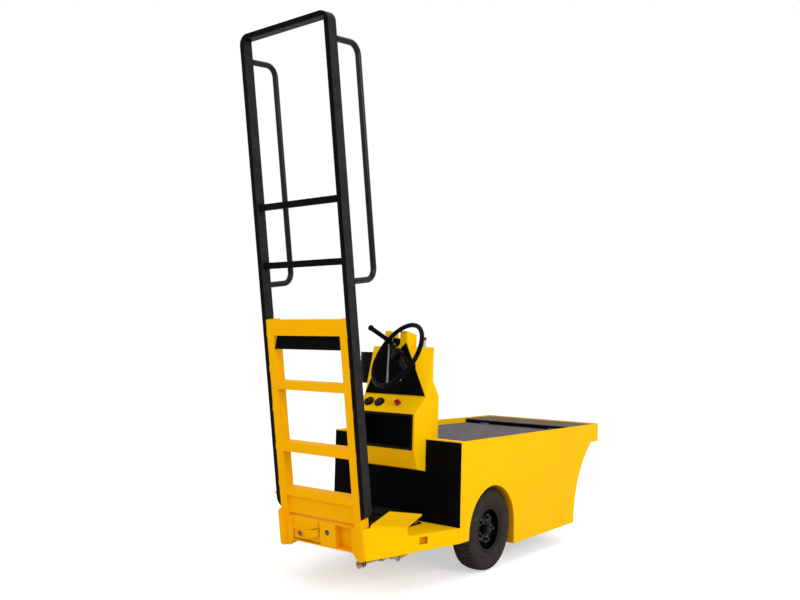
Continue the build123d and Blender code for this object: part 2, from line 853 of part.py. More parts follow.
# Treadle pedal at the foot of the bulkhead
with BuildPart() as foot_pedal:
    with BuildSketch(Plane.XZ.offset(-pedal_left)):
        with BuildLine():
            Polyline(
                (ahead(-pedal_reach), floor_height + mat_thickness),
                (ahead(-pedal_reach) + 2 * pedal_plate, floor_height + mat_thickness),
                (ahead(0), pedal_top - pedal_plate),
                (ahead(0), pedal_top),
                (ahead(-pedal_plate), pedal_top),
                close=True,
            )
        make_face()
    extrude(amount=pedal_left + pedal_right)
finish(foot_pedal.part, "foot_pedal")

# Upper ladder: hoop of rectangular tube with two rungs
with BuildPart() as ladder_hoop:
    with BuildSketch(ladder_plane):
        with Locations((0, (hoop_low + ladder_length) / 2)):
            Rectangle(2 * hoop_half, ladder_length - hoop_low)
        fillet(vertices().group_by(Axis.Z)[-1], hoop_corner)
        inner_top = ladder_length - hoop_tube_width
        with Locations((0, (hoop_low + inner_top) / 2)):
            Rectangle(2 * (hoop_half - hoop_tube_width), inner_top - hoop_low, mode=Mode.SUBTRACT)
    extrude(amount=hoop_tube_depth)
    with BuildSketch(ladder_plane.offset((hoop_tube_depth - rung_depth) / 2)):
        with Locations(*[(0, top - rung_height / 2) for top in rung_tops]):
            Rectangle(2 * (hoop_half - hoop_tube_width), rung_height)
    extrude(amount=rung_depth)
finish(ladder_hoop.part, "ladder_hoop")

# Handrails in front of the hoop's posts
for name, sign in sides:
    rail_side = sign * (hoop_half - hoop_tube_width / 2)
    rail_plane = Plane(
        origin=ladder_plane.from_local_coords((rail_side, 0, hoop_tube_depth)),
        x_dir=(lean_cos, 0, lean_sin),
        z_dir=(0, -1, 0),
    )
    with BuildPart() as handrail:
        with BuildLine(rail_plane) as rail_path:
            FilletPolyline(
                (0, handrail_low),
                (handrail_reach, handrail_low),
                (handrail_reach, handrail_high),
                (0, handrail_high),
                radius=handrail_bend,
            )
        with BuildSketch(Plane(origin=rail_path.line @ 0, z_dir=rail_path.line % 0)):
            Circle(rail_tube_radius)
        sweep()
    finish(handrail.part, f"handrail_{name}")

# Lower ladder: stiles, steps, top plate and base panel
stile_outer = hoop_half - hoop_tube_width
stile_inner = stile_outer - stile_width
with BuildPart() as lower_ladder:
    with BuildSketch(ladder_plane):
        with Locations(
            *[
                (side * (stile_outer + stile_inner) / 2, (beam_top + lower_ladder_top) / 2)
                for side in (1, -1)
            ]
        ):
            Rectangle(stile_width, lower_ladder_top - beam_top)
        for top, height in step_rows:
            with Locations((0, top - height / 2)):
                Rectangle(2 * stile_inner, height)
    extrude(amount=hoop_tube_depth)
    with BuildSketch(ladder_plane):
        with Locations((0, (top_plate_low + lower_ladder_top) / 2)):
            Rectangle(2 * stile_inner, lower_ladder_top - top_plate_low)
    extrude(amount=ladder_plate)
    with BuildSketch(ladder_plane.offset(panel_setback)):
        with Locations((0, (panel_low + base_panel_top) / 2)):
            Rectangle(2 * stile_inner, base_panel_top - panel_low)
    extrude(amount=ladder_plate)
finish(lower_ladder.part, "lower_ladder")

kick_plane = Plane(
    origin=ladder_plane.from_local_coords((stile_inner, 0, 0)),
    x_dir=(lean_cos, 0, lean_sin),
    z_dir=(0, -1, 0),
)
with BuildPart() as ladder_kick_panel:
    with BuildSketch(kick_plane):
        with BuildLine():
            Polyline(
                (0, kick_low),
                (kick_sheet, kick_low),
                (kick_lean + kick_sheet, top_plate_low),
                (kick_lean, top_plate_low),
                close=True,
            )
        make_face()
    extrude(amount=2 * stile_inner)
finish(ladder_kick_panel.part, "ladder_kick_panel")

# Console tower
tower_half = tower_width / 2
cover_x = ahead(-cover_reach)
horn_slope = Plane(
    origin=(cover_x, 0, horn_top), z_dir=(horn_top - horn_front_top, 0, tower_top_front + cover_reach)
)
with BuildPart() as horns:
    with BuildSketch(Plane.XY.offset(tower_top)):
        with BuildLine():
            Polyline(
                (cover_x, facet_peak_half),
                (ahead(tower_top_front), horn_front_half),
                (ahead(tower_top_front), -horn_front_half),
                (cover_x, -facet_peak_half),
                close=True,
            )
        make_face()
    extrude(amount=horn_top - tower_top)
    split(bisect_by=horn_slope, keep=Keep.BOTTOM)

with BuildPart() as console_tower:
    with BuildSketch(Plane.XZ.offset(-tower_half)):
        with BuildLine():
            Polyline(
                (cover_x, cover_low),
                (cover_x, horn_top),
                (ahead(tower_top_front), horn_front_top),
                (ahead(tower_top_front), cover_low),
                close=True,
            )
        make_face()
    extrude(amount=tower_width)
    for side in (1, -1):
        low_corner = Vector(cover_x, side * tower_half, cover_low)
        peak_corner = Vector(cover_x, side * facet_peak_half, facet_peak_height)
        ledge_corner = Vector(ahead(tower_top_front), side * tower_half, tower_top)
        normal = (peak_corner - low_corner).cross(ledge_corner - low_corner) * side
        split(bisect_by=Plane(origin=low_corner, z_dir=normal), keep=Keep.BOTTOM)
    with BuildSketch(Plane.XY.offset(tower_top)):
        with Locations((cover_x + tower_sheet, 0)):
            Rectangle(tower_width, tower_width, align=(Align.MIN, Align.CENTER))
    extrude(amount=tower_top, mode=Mode.SUBTRACT)
    add(horns.part)
    with BuildSketch(Plane.YZ.offset(cover_x)):
        with Locations((0, notch_low + notch_half)):
            Circle(notch_half)
            Rectangle(2 * notch_half, tower_top, align=(Align.CENTER, Align.MIN))
    extrude(amount=tower_width, mode=Mode.SUBTRACT)
    with BuildSketch(Plane.XZ.offset(-tower_half)):
        with BuildLine():
            Polyline(
                (ahead(0), tower_low),
                (ahead(-tower_bottom_reach), tower_bottom_rear),
                (ahead(-tower_box_reach), tower_box_low),
                (ahead(-tower_box_reach), tower_box_high),
                (cover_x, cover_low),
                (ahead(tower_top_front), cover_low),
                (ahead(tower_top_front), tower_front_break_high),
                (ahead(tower_front), tower_front_break_low),
                (ahead(tower_front), deck_top - sheet),
                (ahead(coaming_depth), deck_top - sheet),
                (ahead(coaming_depth), body_height),
                (ahead(0), body_height),
                close=True,
            )
        make_face()
    extrude(amount=tower_width)
    with BuildSketch(Plane.XZ.offset(-tower_half + tower_sheet)):
        with BuildLine():
            Polyline(
                (ahead(-tower_sheet), tower_bottom_rear),
                (ahead(-tower_bottom_reach + tower_sheet), tower_bottom_rear + tower_sheet),
                (ahead(-tower_box_reach + tower_sheet), tower_box_low),
                (ahead(-tower_box_reach + tower_sheet), tower_box_high - tower_sheet),
                (cover_x + tower_sheet, cover_low - tower_sheet),
                (ahead(tower_front - tower_sheet), cover_low - tower_sheet),
                (ahead(tower_front - tower_sheet), body_height + tower_sheet),
                (ahead(-tower_sheet), body_height + tower_sheet),
                close=True,
            )
        make_face()
    extrude(amount=tower_width - 2 * tower_sheet, mode=Mode.SUBTRACT)
    with Locations((ahead(-tower_box_reach), 0, (tower_box_low + glove_high) / 2)):
        Box(3 * tower_sheet, glove_width, glove_high - tower_box_low, mode=Mode.SUBTRACT)
finish(console_tower.part, "console_tower")

with BuildPart() as glove_box:
    with Locations(
        (ahead(-tower_box_reach + glove_depth / 2), 0, (tower_box_low + glove_high) / 2)
    ):
        Box(glove_depth, glove_width, glove_high - tower_box_low)
    with Locations(
        (ahead(-tower_box_reach + glove_depth / 2) - glove_wall, 0, (tower_box_low + glove_high) / 2)
    ):
        Box(
            glove_depth,
            glove_width - 2 * glove_wall,
            glove_high - tower_box_low - 2 * glove_wall,
            mode=Mode.SUBTRACT,
        )
finish(glove_box.part, "glove_box")

with BuildPart() as console_cover:
    with BuildSketch(Plane.YZ.offset(cover_x - cover_sheet)):
        with BuildLine():
            top_half = facet_peak_half - cover_margin
            Polyline(
                (-tower_half + cover_margin, cover_low + cover_margin),
                (tower_half - cover_margin, cover_low + cover_margin),
                (top_half, facet_peak_height - cover_margin),
                (cover_notch_half, cover_notch_low),
                (-cover_notch_half, cover_notch_low),
                (-top_half, facet_peak_height - cover_margin),
                close=True,
            )
        make_face()
    extrude(amount=cover_sheet)
finish(console_cover.part, "console_cover")

dash_rise = cover_low - tower_box_high
dash_run = tower_box_reach - cover_reach
dash_plane = Plane(
    origin=(ahead(-(tower_box_reach + cover_reach) / 2), 0, (tower_box_high + cover_low) / 2),
    x_dir=(0, 1, 0),
    z_dir=(-dash_rise, 0, dash_run),
)
with BuildPart() as dash_instruments:
    with BuildSketch(dash_plane):
        with Locations(*[(y, 0) for y in gauge_places]):
            Circle(gauge_radius)
    extrude(amount=gauge_proud)
    with BuildSketch(dash_plane):
        with Locations((key_place, 0)):
            Circle(key_radius)
    extrude(amount=key_proud)
finish(dash_instruments.part, "dash_instruments")

with BuildPart() as stop_button:
    with Locations((ahead(knob_ahead), knob_inset - tower_half, tower_top)):
        Cylinder(knob_stem_radius, knob_stem_length, align=(Align.CENTER, Align.CENTER, Align.MIN))
    with Locations((ahead(knob_ahead), knob_inset - tower_half, tower_top + knob_stem_length)):
        Cylinder(knob_cap_radius, knob_cap_length, align=(Align.CENTER, Align.CENTER, Align.MIN))
finish(stop_button.part, "stop_button")

holder_side = tower_half + holder_gap + holder_radius
with BuildPart() as cup_holder:
    with BuildSketch(Plane.XY.offset(holder_low)):
        with Locations((ahead(holder_ahead), holder_side)):
            Circle(holder_foot_radius)
    with BuildSketch(Plane.XY.offset(holder_low + holder_taper)):
        with Locations((ahead(holder_ahead), holder_side)):
            Circle(holder_radius)
    loft()
    with BuildSketch(Plane.XY.offset(holder_low + holder_taper)):
        with Locations((ahead(holder_ahead), holder_side)):
            Circle(holder_radius)
    extrude(amount=holder_high - holder_low - holder_taper)
    with Locations((ahead(holder_ahead), holder_side, holder_low + holder_taper)):
        Cylinder(
            holder_radius - holder_wall,
            holder_high - holder_low,
            align=(Align.CENTER, Align.CENTER, Align.MIN),
            mode=Mode.SUBTRACT,
        )
    with BuildSketch(Plane.XZ.offset(-tower_half - holder_gap - holder_wall)):
        with Locations((ahead(tower_top_front), holder_high - bracket_height)):
            Rectangle(2 * bracket_width, bracket_height, align=(Align.MIN, Align.CENTER))
    extrude(amount=holder_wall)
    with BuildSketch(Plane.XZ.offset(-tower_half - holder_gap - holder_wall)):
        with Locations((ahead(tower_top_front), holder_high - bracket_height)):
            Rectangle(2 * bracket_width, bracket_height)
    extrude(amount=holder_wall)
    with BuildSketch(Plane.XZ.offset(-tower_half - holder_gap - holder_wall)):
        with Locations((ahead(tower_top_front), holder_high - bracket_height)):
            Rectangle(bracket_width, bracket_height, align=(Align.MAX, Align.CENTER))
    extrude(amount=holder_gap + holder_wall)
finish(cup_holder.part, "cup_holder")

# Steering column and wheel, on one inclined axis
steer_axis = Vector(
    -cos(radians(wheel_lift)) * cos(radians(wheel_turn)),
    cos(radians(wheel_lift)) * sin(radians(wheel_turn)),
    sin(radians(wheel_lift)),
)
wheel_centre = Vector(ahead(wheel_centre_ahead), wheel_centre_side, wheel_centre_height)
steer_plane = Plane(origin=wheel_centre, x_dir=Vector(0, 1, 0).cross(steer_axis), z_dir=steer_axis)
column_foot = Vector(cover_x - cover_sheet, column_foot_side, column_foot_height)
with BuildPart() as steering_column:
    with BuildSketch(Plane(origin=column_foot, x_dir=(0, -1, 0), z_dir=(-1, 0, 0))):
        Circle(column_foot_radius)
    with BuildSketch(steer_plane.offset(-hub_length / 2 - hub_gap)):
        Circle(column_radius)
    loft()
    with BuildSketch(steer_plane.offset(-hub_length / 2 - hub_gap)):
        Circle(shaft_radius)
    extrude(amount=hub_length - shaft_recess)
finish(steering_column.part, "steering_column")

with BuildPart() as steering_wheel:
    with BuildSketch(steer_plane.offset(-hub_length / 2)):
        Circle(hub_radius)
    extrude(amount=hub_length)
    with BuildSketch(steer_plane.offset(-spoke_thickness / 2)):
        with PolarLocations(wheel_ring_radius / 2, spoke_count, start_angle=spoke_angle):
            Rectangle(wheel_ring_radius, spoke_width)
    extrude(amount=spoke_thickness)
    with BuildSketch(Plane(origin=steer_plane.origin, x_dir=steer_plane.x_dir, z_dir=steer_plane.y_dir)):
        with Locations((wheel_ring_radius, 0)):
            Circle(wheel_grip_radius)
    revolve(axis=Axis(steer_plane.origin, steer_axis))
    with BuildSketch(steer_plane):
        with PolarLocations(wheel_ring_radius, 1, start_angle=spinner_angle):
            Circle(spinner_radius)
    extrude(amount=spinner_length)
    with BuildSketch(steer_plane.offset(spinner_length)):
        with PolarLocations(wheel_ring_radius, 1, start_angle=spinner_angle):
            Circle(spinner_cap_radius)
    extrude(amount=-spinner_cap_radius)
    with BuildSketch(steer_plane.offset(-hub_length)):
        Circle(shaft_radius + running_gap)
    extrude(amount=hub_length + hub_length / 2 - shaft_recess, mode=Mode.SUBTRACT)
finish(steering_wheel.part, "steering_wheel")

# Direction selector in the notch between the horns
with BuildPart() as selector:
    with BuildSketch(Plane.YZ.offset(ahead(-selector_rear))):
        with Locations((0, selector_height)):
            Circle(selector_radius)
    extrude(amount=selector_rear + selector_front)
    selector_foot = notch_low + notch_half - sqrt(notch_half**2 - selector_foot_half**2)
    with BuildSketch(Plane.XY.offset(selector_foot)):
        with Locations((ahead(selector_front / 2), 0)):
            Rectangle(selector_front, 2 * selector_foot_half)
    extrude(amount=selector_height - selector_foot)
finish(selector.part, "selector")
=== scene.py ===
"""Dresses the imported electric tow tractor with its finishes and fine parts, and sets up the studio."""

from __future__ import annotations

import json
import logging
import math
import random
from dataclasses import dataclass, field
from enum import Enum
from typing import Iterable, Sequence

import bpy
from mathutils import Matrix, Vector

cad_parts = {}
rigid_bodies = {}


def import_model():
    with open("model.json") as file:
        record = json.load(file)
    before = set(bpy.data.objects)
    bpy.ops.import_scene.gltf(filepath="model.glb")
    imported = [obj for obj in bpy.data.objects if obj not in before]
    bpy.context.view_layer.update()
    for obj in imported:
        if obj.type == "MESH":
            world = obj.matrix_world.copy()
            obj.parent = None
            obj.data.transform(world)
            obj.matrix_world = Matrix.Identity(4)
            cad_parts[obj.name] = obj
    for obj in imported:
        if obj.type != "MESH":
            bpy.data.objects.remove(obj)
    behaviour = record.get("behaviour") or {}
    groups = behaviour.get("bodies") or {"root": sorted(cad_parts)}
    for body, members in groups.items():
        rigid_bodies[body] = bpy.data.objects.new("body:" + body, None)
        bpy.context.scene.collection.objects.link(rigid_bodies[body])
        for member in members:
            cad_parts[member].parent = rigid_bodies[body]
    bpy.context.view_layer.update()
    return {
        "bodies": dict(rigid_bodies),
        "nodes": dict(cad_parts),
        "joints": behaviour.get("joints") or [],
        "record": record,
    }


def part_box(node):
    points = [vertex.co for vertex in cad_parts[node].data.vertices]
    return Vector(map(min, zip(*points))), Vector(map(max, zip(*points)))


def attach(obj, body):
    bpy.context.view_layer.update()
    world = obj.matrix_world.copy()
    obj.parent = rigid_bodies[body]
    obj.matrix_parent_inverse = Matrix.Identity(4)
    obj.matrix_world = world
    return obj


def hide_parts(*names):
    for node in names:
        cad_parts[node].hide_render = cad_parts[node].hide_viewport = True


LOG = logging.getLogger("tow_tractor")
UP = Vector((0.0, 0.0, 1.0))
AHEAD = Vector((1.0, 0.0, 0.0))
BACK = Vector((-1.0, 0.0, 0.0))
LEFT = Vector((0.0, 1.0, 0.0))
Colour = tuple[float, float, float]
Point = Sequence[float]
Outline = Sequence[tuple[float, float]]
Socket = bpy.types.NodeSocket


class Slot(Enum):
    """Material slots of the record."""

    BODY = "body_paint"
    BLACK = "black_steel"
    DECK = "deck_paint"
    CAST = "cast_iron"
    WHEEL = "wheel_paint"
    TYRE = "tyre_rubber"
    MAT = "mat_rubber"
    PLASTIC = "black_plastic"
    RED = "red_plastic"


class Body(Enum):
    """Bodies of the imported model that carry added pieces."""

    CHASSIS = "chassis"
    REAR_LEFT = "rear_wheel_left"
    REAR_RIGHT = "rear_wheel_right"
    FORK = "steer_fork"
    FRONT = "front_wheel"
    WHEEL = "steering_wheel"


# Shader building

# Colours of the dust on the paint, and of the painted sheen that makes its faces which look sideways paler
GRIME: Colour = (0.30, 0.22, 0.12)
SIDE_SHEEN: Colour = (0.033, 0.032, 0.029)


class Nodes:
    """A node tree with short calls for adding and joining its nodes."""

    def __init__(self, tree: bpy.types.NodeTree) -> None:
        """Starts with an empty tree.

        Args:
            tree: the node tree.
        """
        self.tree = tree
        self.tree.nodes.clear()

    def node(self, kind: str, **settings: object) -> bpy.types.Node:
        """Adds a node.

        Args:
            kind: the node's type.
            settings: properties set on it.

        Returns:
            The node.
        """
        made = self.tree.nodes.new(kind)
        for key, value in settings.items():
            setattr(made, key, value)
        return made

    def link(self, source: Socket, target: Socket) -> None:
        """Joins two sockets."""
        self.tree.links.new(source, target)

    def maths(self, operation: str, first: Socket, second: Socket | float) -> Socket:
        """One sum of two values.

        Args:
            operation: the sum's name.
            first: a socket.
            second: a socket or a number.

        Returns:
            The result.
        """
        made = self.node("ShaderNodeMath", operation=operation)
        self.link(first, made.inputs[0])
        if isinstance(second, (int, float)):
            made.inputs[1].default_value = second
        else:
            self.link(second, made.inputs[1])
        return made.outputs[0]


class Graph(Nodes):
    """A material's node tree with short calls for the nodes that the finishes use."""

    def __init__(self, title: str) -> None:
        """Starts a material that holds one Principled shader.

        Args:
            title: the material's name.
        """
        self.material = bpy.data.materials.new(title)
        self.material.use_nodes = True
        super().__init__(self.material.node_tree)
        self.surface = self.node("ShaderNodeBsdfPrincipled")
        out = self.node("ShaderNodeOutputMaterial")
        self.link(self.surface.outputs["BSDF"], out.inputs["Surface"])
        self.place = self.node("ShaderNodeTexCoord").outputs["Object"]

    def times(self, first: Socket, second: Socket | float) -> Socket:
        """Returns the product of two values."""
        return self.maths("MULTIPLY", first, second)

    def stretch(self, scale: Point) -> Socket:
        """Object coordinates with their own scale on each axis.

        Args:
            scale: factors of X, Y and Z.

        Returns:
            The scaled coordinates.
        """
        made = self.node("ShaderNodeMapping")
        made.inputs["Scale"].default_value = scale
        self.link(self.place, made.inputs["Vector"])
        return made.outputs["Vector"]

    def noise(self, scale: float, detail: float, rough: float = 0.5, where: Socket | None = None) -> Socket:
        """Cloudy noise.

        Args:
            scale: features for each metre.
            detail: octaves.
            rough: strength of the finer octaves.
            where: coordinates other than the object's own.

        Returns:
            The noise from 0 to 1.
        """
        made = self.node("ShaderNodeTexNoise")
        made.inputs["Scale"].default_value = scale
        made.inputs["Detail"].default_value = detail
        made.inputs["Roughness"].default_value = rough
        self.link(where or self.place, made.inputs["Vector"])
        return made.outputs["Fac"]

    def cells(self, scale: float) -> Socket:
        """Distance to scattered cell points.

        Args:
            scale: cells for each metre.

        Returns:
            The distance.
        """
        made = self.node("ShaderNodeTexVoronoi", feature="F1")
        made.inputs["Scale"].default_value = scale
        self.link(self.place, made.inputs["Vector"])
        return made.outputs["Distance"]

    def window(self, value: Socket, low: float, high: float) -> Socket:
        """Spreads the values between two limits over 0 to 1.

        Args:
            value: what is spread.
            low: becomes 0.
            high: becomes 1.

        Returns:
            The clamped result.
        """
        made = self.node("ShaderNodeMapRange", interpolation_type="SMOOTHSTEP")
        made.inputs["From Min"].default_value = low
        made.inputs["From Max"].default_value = high
        self.link(value, made.inputs["Value"])
        return made.outputs["Result"]

    def blend(self, share: Socket, low: Colour | Socket, high: Colour | Socket) -> Socket:
        """Mixes two colours.

        Args:
            share: how much of the second shows.
            low: the first colour.
            high: the second colour.

        Returns:
            The mixed colour.
        """
        made = self.node("ShaderNodeMix", data_type="RGBA")
        self.link(share, made.inputs["Factor"])
        for value, socket in ((low, made.inputs[6]), (high, made.inputs[7])):
            if isinstance(value, tuple):
                socket.default_value = (*value, 1.0)
            else:
                self.link(value, socket)
        return made.outputs[2]

    def span(self, share: Socket, low: float, high: float) -> Socket:
        """A number that runs between two limits.

        Args:
            share: a value from 0 to 1.
            low: the number at 0.
            high: the number at 1.

        Returns:
            The number.
        """
        made = self.node("ShaderNodeMapRange")
        made.inputs["To Min"].default_value = low
        made.inputs["To Max"].default_value = high
        self.link(share, made.inputs["Value"])
        return made.outputs["Result"]

    def edges(self, radius: float) -> tuple[Socket, Socket]:
        """Finds the edges of the piece.

        Args:
            radius: how far from an edge the mask reaches, in metres.

        Returns:
            A mask that is 1 on the edges, and the rounded normal there.
        """
        bevel = self.node("ShaderNodeBevel", samples=6)
        bevel.inputs["Radius"].default_value = radius
        flat = self.node("ShaderNodeNewGeometry")
        dot = self.node("ShaderNodeVectorMath", operation="DOT_PRODUCT")
        self.link(bevel.outputs["Normal"], dot.inputs[0])
        self.link(flat.outputs["Normal"], dot.inputs[1])
        return self.window(dot.outputs["Value"], 0.995, 0.86), bevel.outputs["Normal"]

    def bump(self, height: Socket, distance: float, strength: float, normal: Socket | None = None) -> Socket:
        """Turns a height into a normal.

        Args:
            height: from 0 to 1.
            distance: metres that 1 stands for.
            strength: share of the effect.
            normal: the normal that it is laid over.

        Returns:
            The new normal.
        """
        made = self.node("ShaderNodeBump")
        made.inputs["Strength"].default_value = strength
        made.inputs["Distance"].default_value = distance
        self.link(height, made.inputs["Height"])
        if normal is not None:
            self.link(normal, made.inputs["Normal"])
        return made.outputs["Normal"]

    def set(self, **values: object) -> None:
        """Sets or links sockets of the shader, with underscores for spaces in their names."""
        for key, value in values.items():
            socket = self.surface.inputs[key.replace("_", " ")]
            if isinstance(value, Socket):
                self.link(value, socket)
            elif isinstance(value, tuple):
                socket.default_value = (*value, 1.0)
            else:
                socket.default_value = value


@dataclass(frozen=True)
class Finish:
    """What a surface is made of. Each finish makes its material once.

    Args:
        title: the material's name.
        slot: the record's slot that it belongs to; not used.
        colour: the main colour.
        second: the colour of its clouds or dust.
        rough: the smallest roughness.
    """

    title: str
    slot: Slot
    colour: Colour
    second: Colour
    rough: float = 0.4

    def material(self) -> bpy.types.Material:
        """Returns the material, made at its first use."""
        known = bpy.data.materials.get(self.title)
        if known:
            return known
        graph = Graph(self.title)
        self.shade(graph)
        return graph.material

    def shade(self, graph: Graph) -> None:
        """Fills the graph with this finish."""
        raise NotImplementedError


@dataclass(frozen=True)
class Paint(Finish):
    """Sprayed paint with orange peel, dust low down, chips along its edges and a painted sheen on the faces
    that look sideways.

    Args:
        chip: the colour under the paint.
        wear: how much of the edges is chipped.
        coat: gloss of the clear layer.
        specular: strength of the plain reflection.
        dust_top: height under which dust settles, in metres.
        side_sheen: how much paler the faces that look sideways are painted, a painted sheen.
    """

    chip: Colour = (0.12, 0.09, 0.07)
    wear: float = 0.35
    coat: float = 0.0
    specular: float = 0.3
    dust_top: float = 0.0
    side_sheen: float = 0.0

    def shade(self, graph: Graph) -> None:
        """Paints with soft clouds, chips and a fine orange peel."""
        clouds = graph.window(graph.noise(2.3, 4.0, 0.6), 0.35, 0.75)
        colour = graph.blend(graph.times(clouds, 0.5), self.colour, self.second)
        mask, rounded = graph.edges(0.0016)
        spots = graph.window(graph.noise(95.0, 5.0, 0.7), 0.62 - 0.2 * self.wear, 0.70)
        patches = graph.window(graph.noise(7.0, 2.0), 0.45, 0.62)
        chips = graph.times(graph.times(mask, spots), patches)
        colour = graph.blend(chips, colour, self.chip)
        streaks = graph.noise(60.0, 6.0, 0.7, graph.stretch((1.0, 1.0, 0.08)))
        smudge = graph.window(streaks, 0.5, 0.8)
        if self.dust_top > 0.0:
            split = graph.node("ShaderNodeSeparateXYZ")
            graph.link(graph.place, split.inputs[0])
            low = graph.window(split.outputs["Z"], self.dust_top, 0.4 * self.dust_top)
            grime = graph.times(low, graph.window(graph.noise(14.0, 6.0, 0.7), 0.42, 0.78))
            colour = graph.blend(graph.times(grime, 0.5), colour, GRIME)
        # Painted sheen: faces that look to the sides are painted paler, in patches.
        if self.side_sheen > 0.0:
            turned = graph.node("ShaderNodeSeparateXYZ")
            graph.link(graph.node("ShaderNodeNewGeometry").outputs["Normal"], turned.inputs[0])
            across = graph.window(graph.maths("POWER", turned.outputs["Y"], 2.0), 0.25, 0.85)
            sheen_patches = graph.window(graph.noise(18.0, 5.0, 0.7), 0.3, 0.7)
            sheen_share = graph.span(sheen_patches, 0.55 * self.side_sheen, self.side_sheen)
            colour = graph.blend(graph.times(across, sheen_share), colour, SIDE_SHEEN)
        rough = graph.span(graph.maths("MAXIMUM", smudge, chips), self.rough, self.rough + 0.22)
        peel = graph.bump(graph.noise(420.0, 2.0), 0.00022, 0.5, rounded)
        graph.set(
            Base_Color=colour,
            Roughness=rough,
            Normal=peel,
            Specular_IOR_Level=self.specular,
            Coat_Weight=self.coat,
            Coat_Roughness=0.12,
        )


@dataclass(frozen=True)
class GripCoat(Finish):
    """Rough anti-slip coating with scuffs and trodden patches.

    Args:
        third: the colour of the scuffs.
        grain: grains for each metre.
    """

    third: Colour = (0.42, 0.36, 0.33)
    grain: float = 260.0

    def shade(self, graph: Graph) -> None:
        """Lays grit, mottled patches and pale scuffs."""
        patches = graph.window(graph.noise(11.0, 8.0, 0.72), 0.36, 0.64)
        fine = graph.window(graph.noise(70.0, 6.0, 0.8), 0.3, 0.7)
        colour = graph.blend(patches, self.colour, self.second)
        colour = graph.blend(graph.times(fine, 0.35), colour, self.third)
        scuffs = graph.window(graph.noise(9.0, 9.0, 0.85, graph.stretch((1.0, 3.0, 1.0))), 0.60, 0.68)
        colour = graph.blend(graph.times(scuffs, 0.6), colour, self.third)
        grit = graph.cells(self.grain)
        graph.set(
            Base_Color=colour,
            Roughness=graph.span(fine, self.rough, self.rough + 0.15),
            Normal=graph.bump(grit, 0.0009, 0.6),
            Specular_IOR_Level=0.12,
        )


@dataclass(frozen=True)
class Rubber(Finish):
    """Rubber with dust that lies on it in clouds.

    Args:
        dust: how much of the dust shows.
        grain: grain of its surface for each metre.
    """

    dust: float = 0.6
    grain: float = 500.0

    def shade(self, graph: Graph) -> None:
        """Lays dust clouds and a fine pitted surface."""
        clouds = graph.window(graph.noise(16.0, 7.0, 0.68), 0.34, 0.70)
        fine = graph.window(graph.noise(120.0, 4.0, 0.7), 0.35, 0.75)
        share = graph.times(graph.maths("ADD", clouds, fine), 0.5 * self.dust)
        colour = graph.blend(share, self.colour, self.second)
        graph.set(
            Base_Color=colour,
            Roughness=graph.span(clouds, self.rough, min(1.0, self.rough + 0.2)),
            Normal=graph.bump(graph.noise(self.grain, 3.0, 0.6), 0.0005, 0.5),
            Specular_IOR_Level=0.07,
        )


@dataclass(frozen=True)
class Plastic(Finish):
    """Moulded plastic with a leather-like grain and rubbed places.

    Args:
        grain: cells of the grain for each metre.
        relief: depth of the grain in metres.
        specular: strength of the reflection.
    """

    grain: float = 900.0
    relief: float = 0.0002
    specular: float = 0.4

    def shade(self, graph: Graph) -> None:
        """Lays the grain and the rubbed clouds."""
        rubbed = graph.window(graph.noise(22.0, 5.0, 0.6), 0.4, 0.7)
        mask, rounded = graph.edges(0.001)
        worn = graph.times(mask, 0.35)
        share = graph.maths("MAXIMUM", graph.times(rubbed, 0.5), worn)
        colour = graph.blend(share, self.colour, self.second)
        graph.set(
            Base_Color=colour,
            Roughness=graph.span(rubbed, self.rough + 0.12, self.rough),
            Normal=graph.bump(graph.cells(self.grain), self.relief, 0.5, rounded),
            Specular_IOR_Level=self.specular,
        )


@dataclass(frozen=True)
class Metal(Finish):
    """Plated or bare metal with fine scratches and stains.

    Args:
        stain: how much of the second colour shows.
        scratch: scratches for each metre.
    """

    stain: float = 0.4
    scratch: float = 160.0

    def shade(self, graph: Graph) -> None:
        """Lays stains and scratches over the metal."""
        clouds = graph.window(graph.noise(60.0, 6.0, 0.7), 0.45, 0.7)
        colour = graph.blend(graph.times(clouds, self.stain), self.colour, self.second)
        lines = graph.noise(self.scratch, 4.0, 0.6, graph.stretch((1.0, 6.0, 1.0)))
        _, rounded = graph.edges(0.0006)
        graph.set(
            Base_Color=colour,
            Metallic=1.0,
            Roughness=graph.span(clouds, self.rough, self.rough + 0.25),
            Normal=graph.bump(lines, 0.0001, 0.4, rounded),
        )


@dataclass(frozen=True)
class Casting(Finish):
    """Sand-cast or forged metal under thin black paint, oily in places."""

    def shade(self, graph: Graph) -> None:
        """Lays the cast grain, rust and oil."""
        grain = graph.noise(320.0, 4.0, 0.65)
        rust = graph.window(graph.noise(18.0, 7.0, 0.7), 0.52, 0.72)
        colour = graph.blend(graph.times(rust, 0.6), self.colour, self.second)
        oil = graph.window(graph.noise(6.0, 3.0), 0.5, 0.6)
        graph.set(
            Base_Color=colour,
            Roughness=graph.span(oil, self.rough + 0.2, self.rough),
            Normal=graph.bump(grain, 0.0006, 0.6),
            Specular_IOR_Level=0.4,
        )


@dataclass(frozen=True)
class Glass(Finish):
    """Clear cover glass of an instrument."""

    def shade(self, graph: Graph) -> None:
        """Makes thin clear glass with faint smears."""
        smears = graph.window(graph.noise(80.0, 5.0, 0.7), 0.5, 0.8)
        graph.set(
            Base_Color=self.colour,
            Roughness=graph.span(smears, self.rough, self.rough + 0.1),
            Transmission_Weight=1.0,
            IOR=1.08,
        )


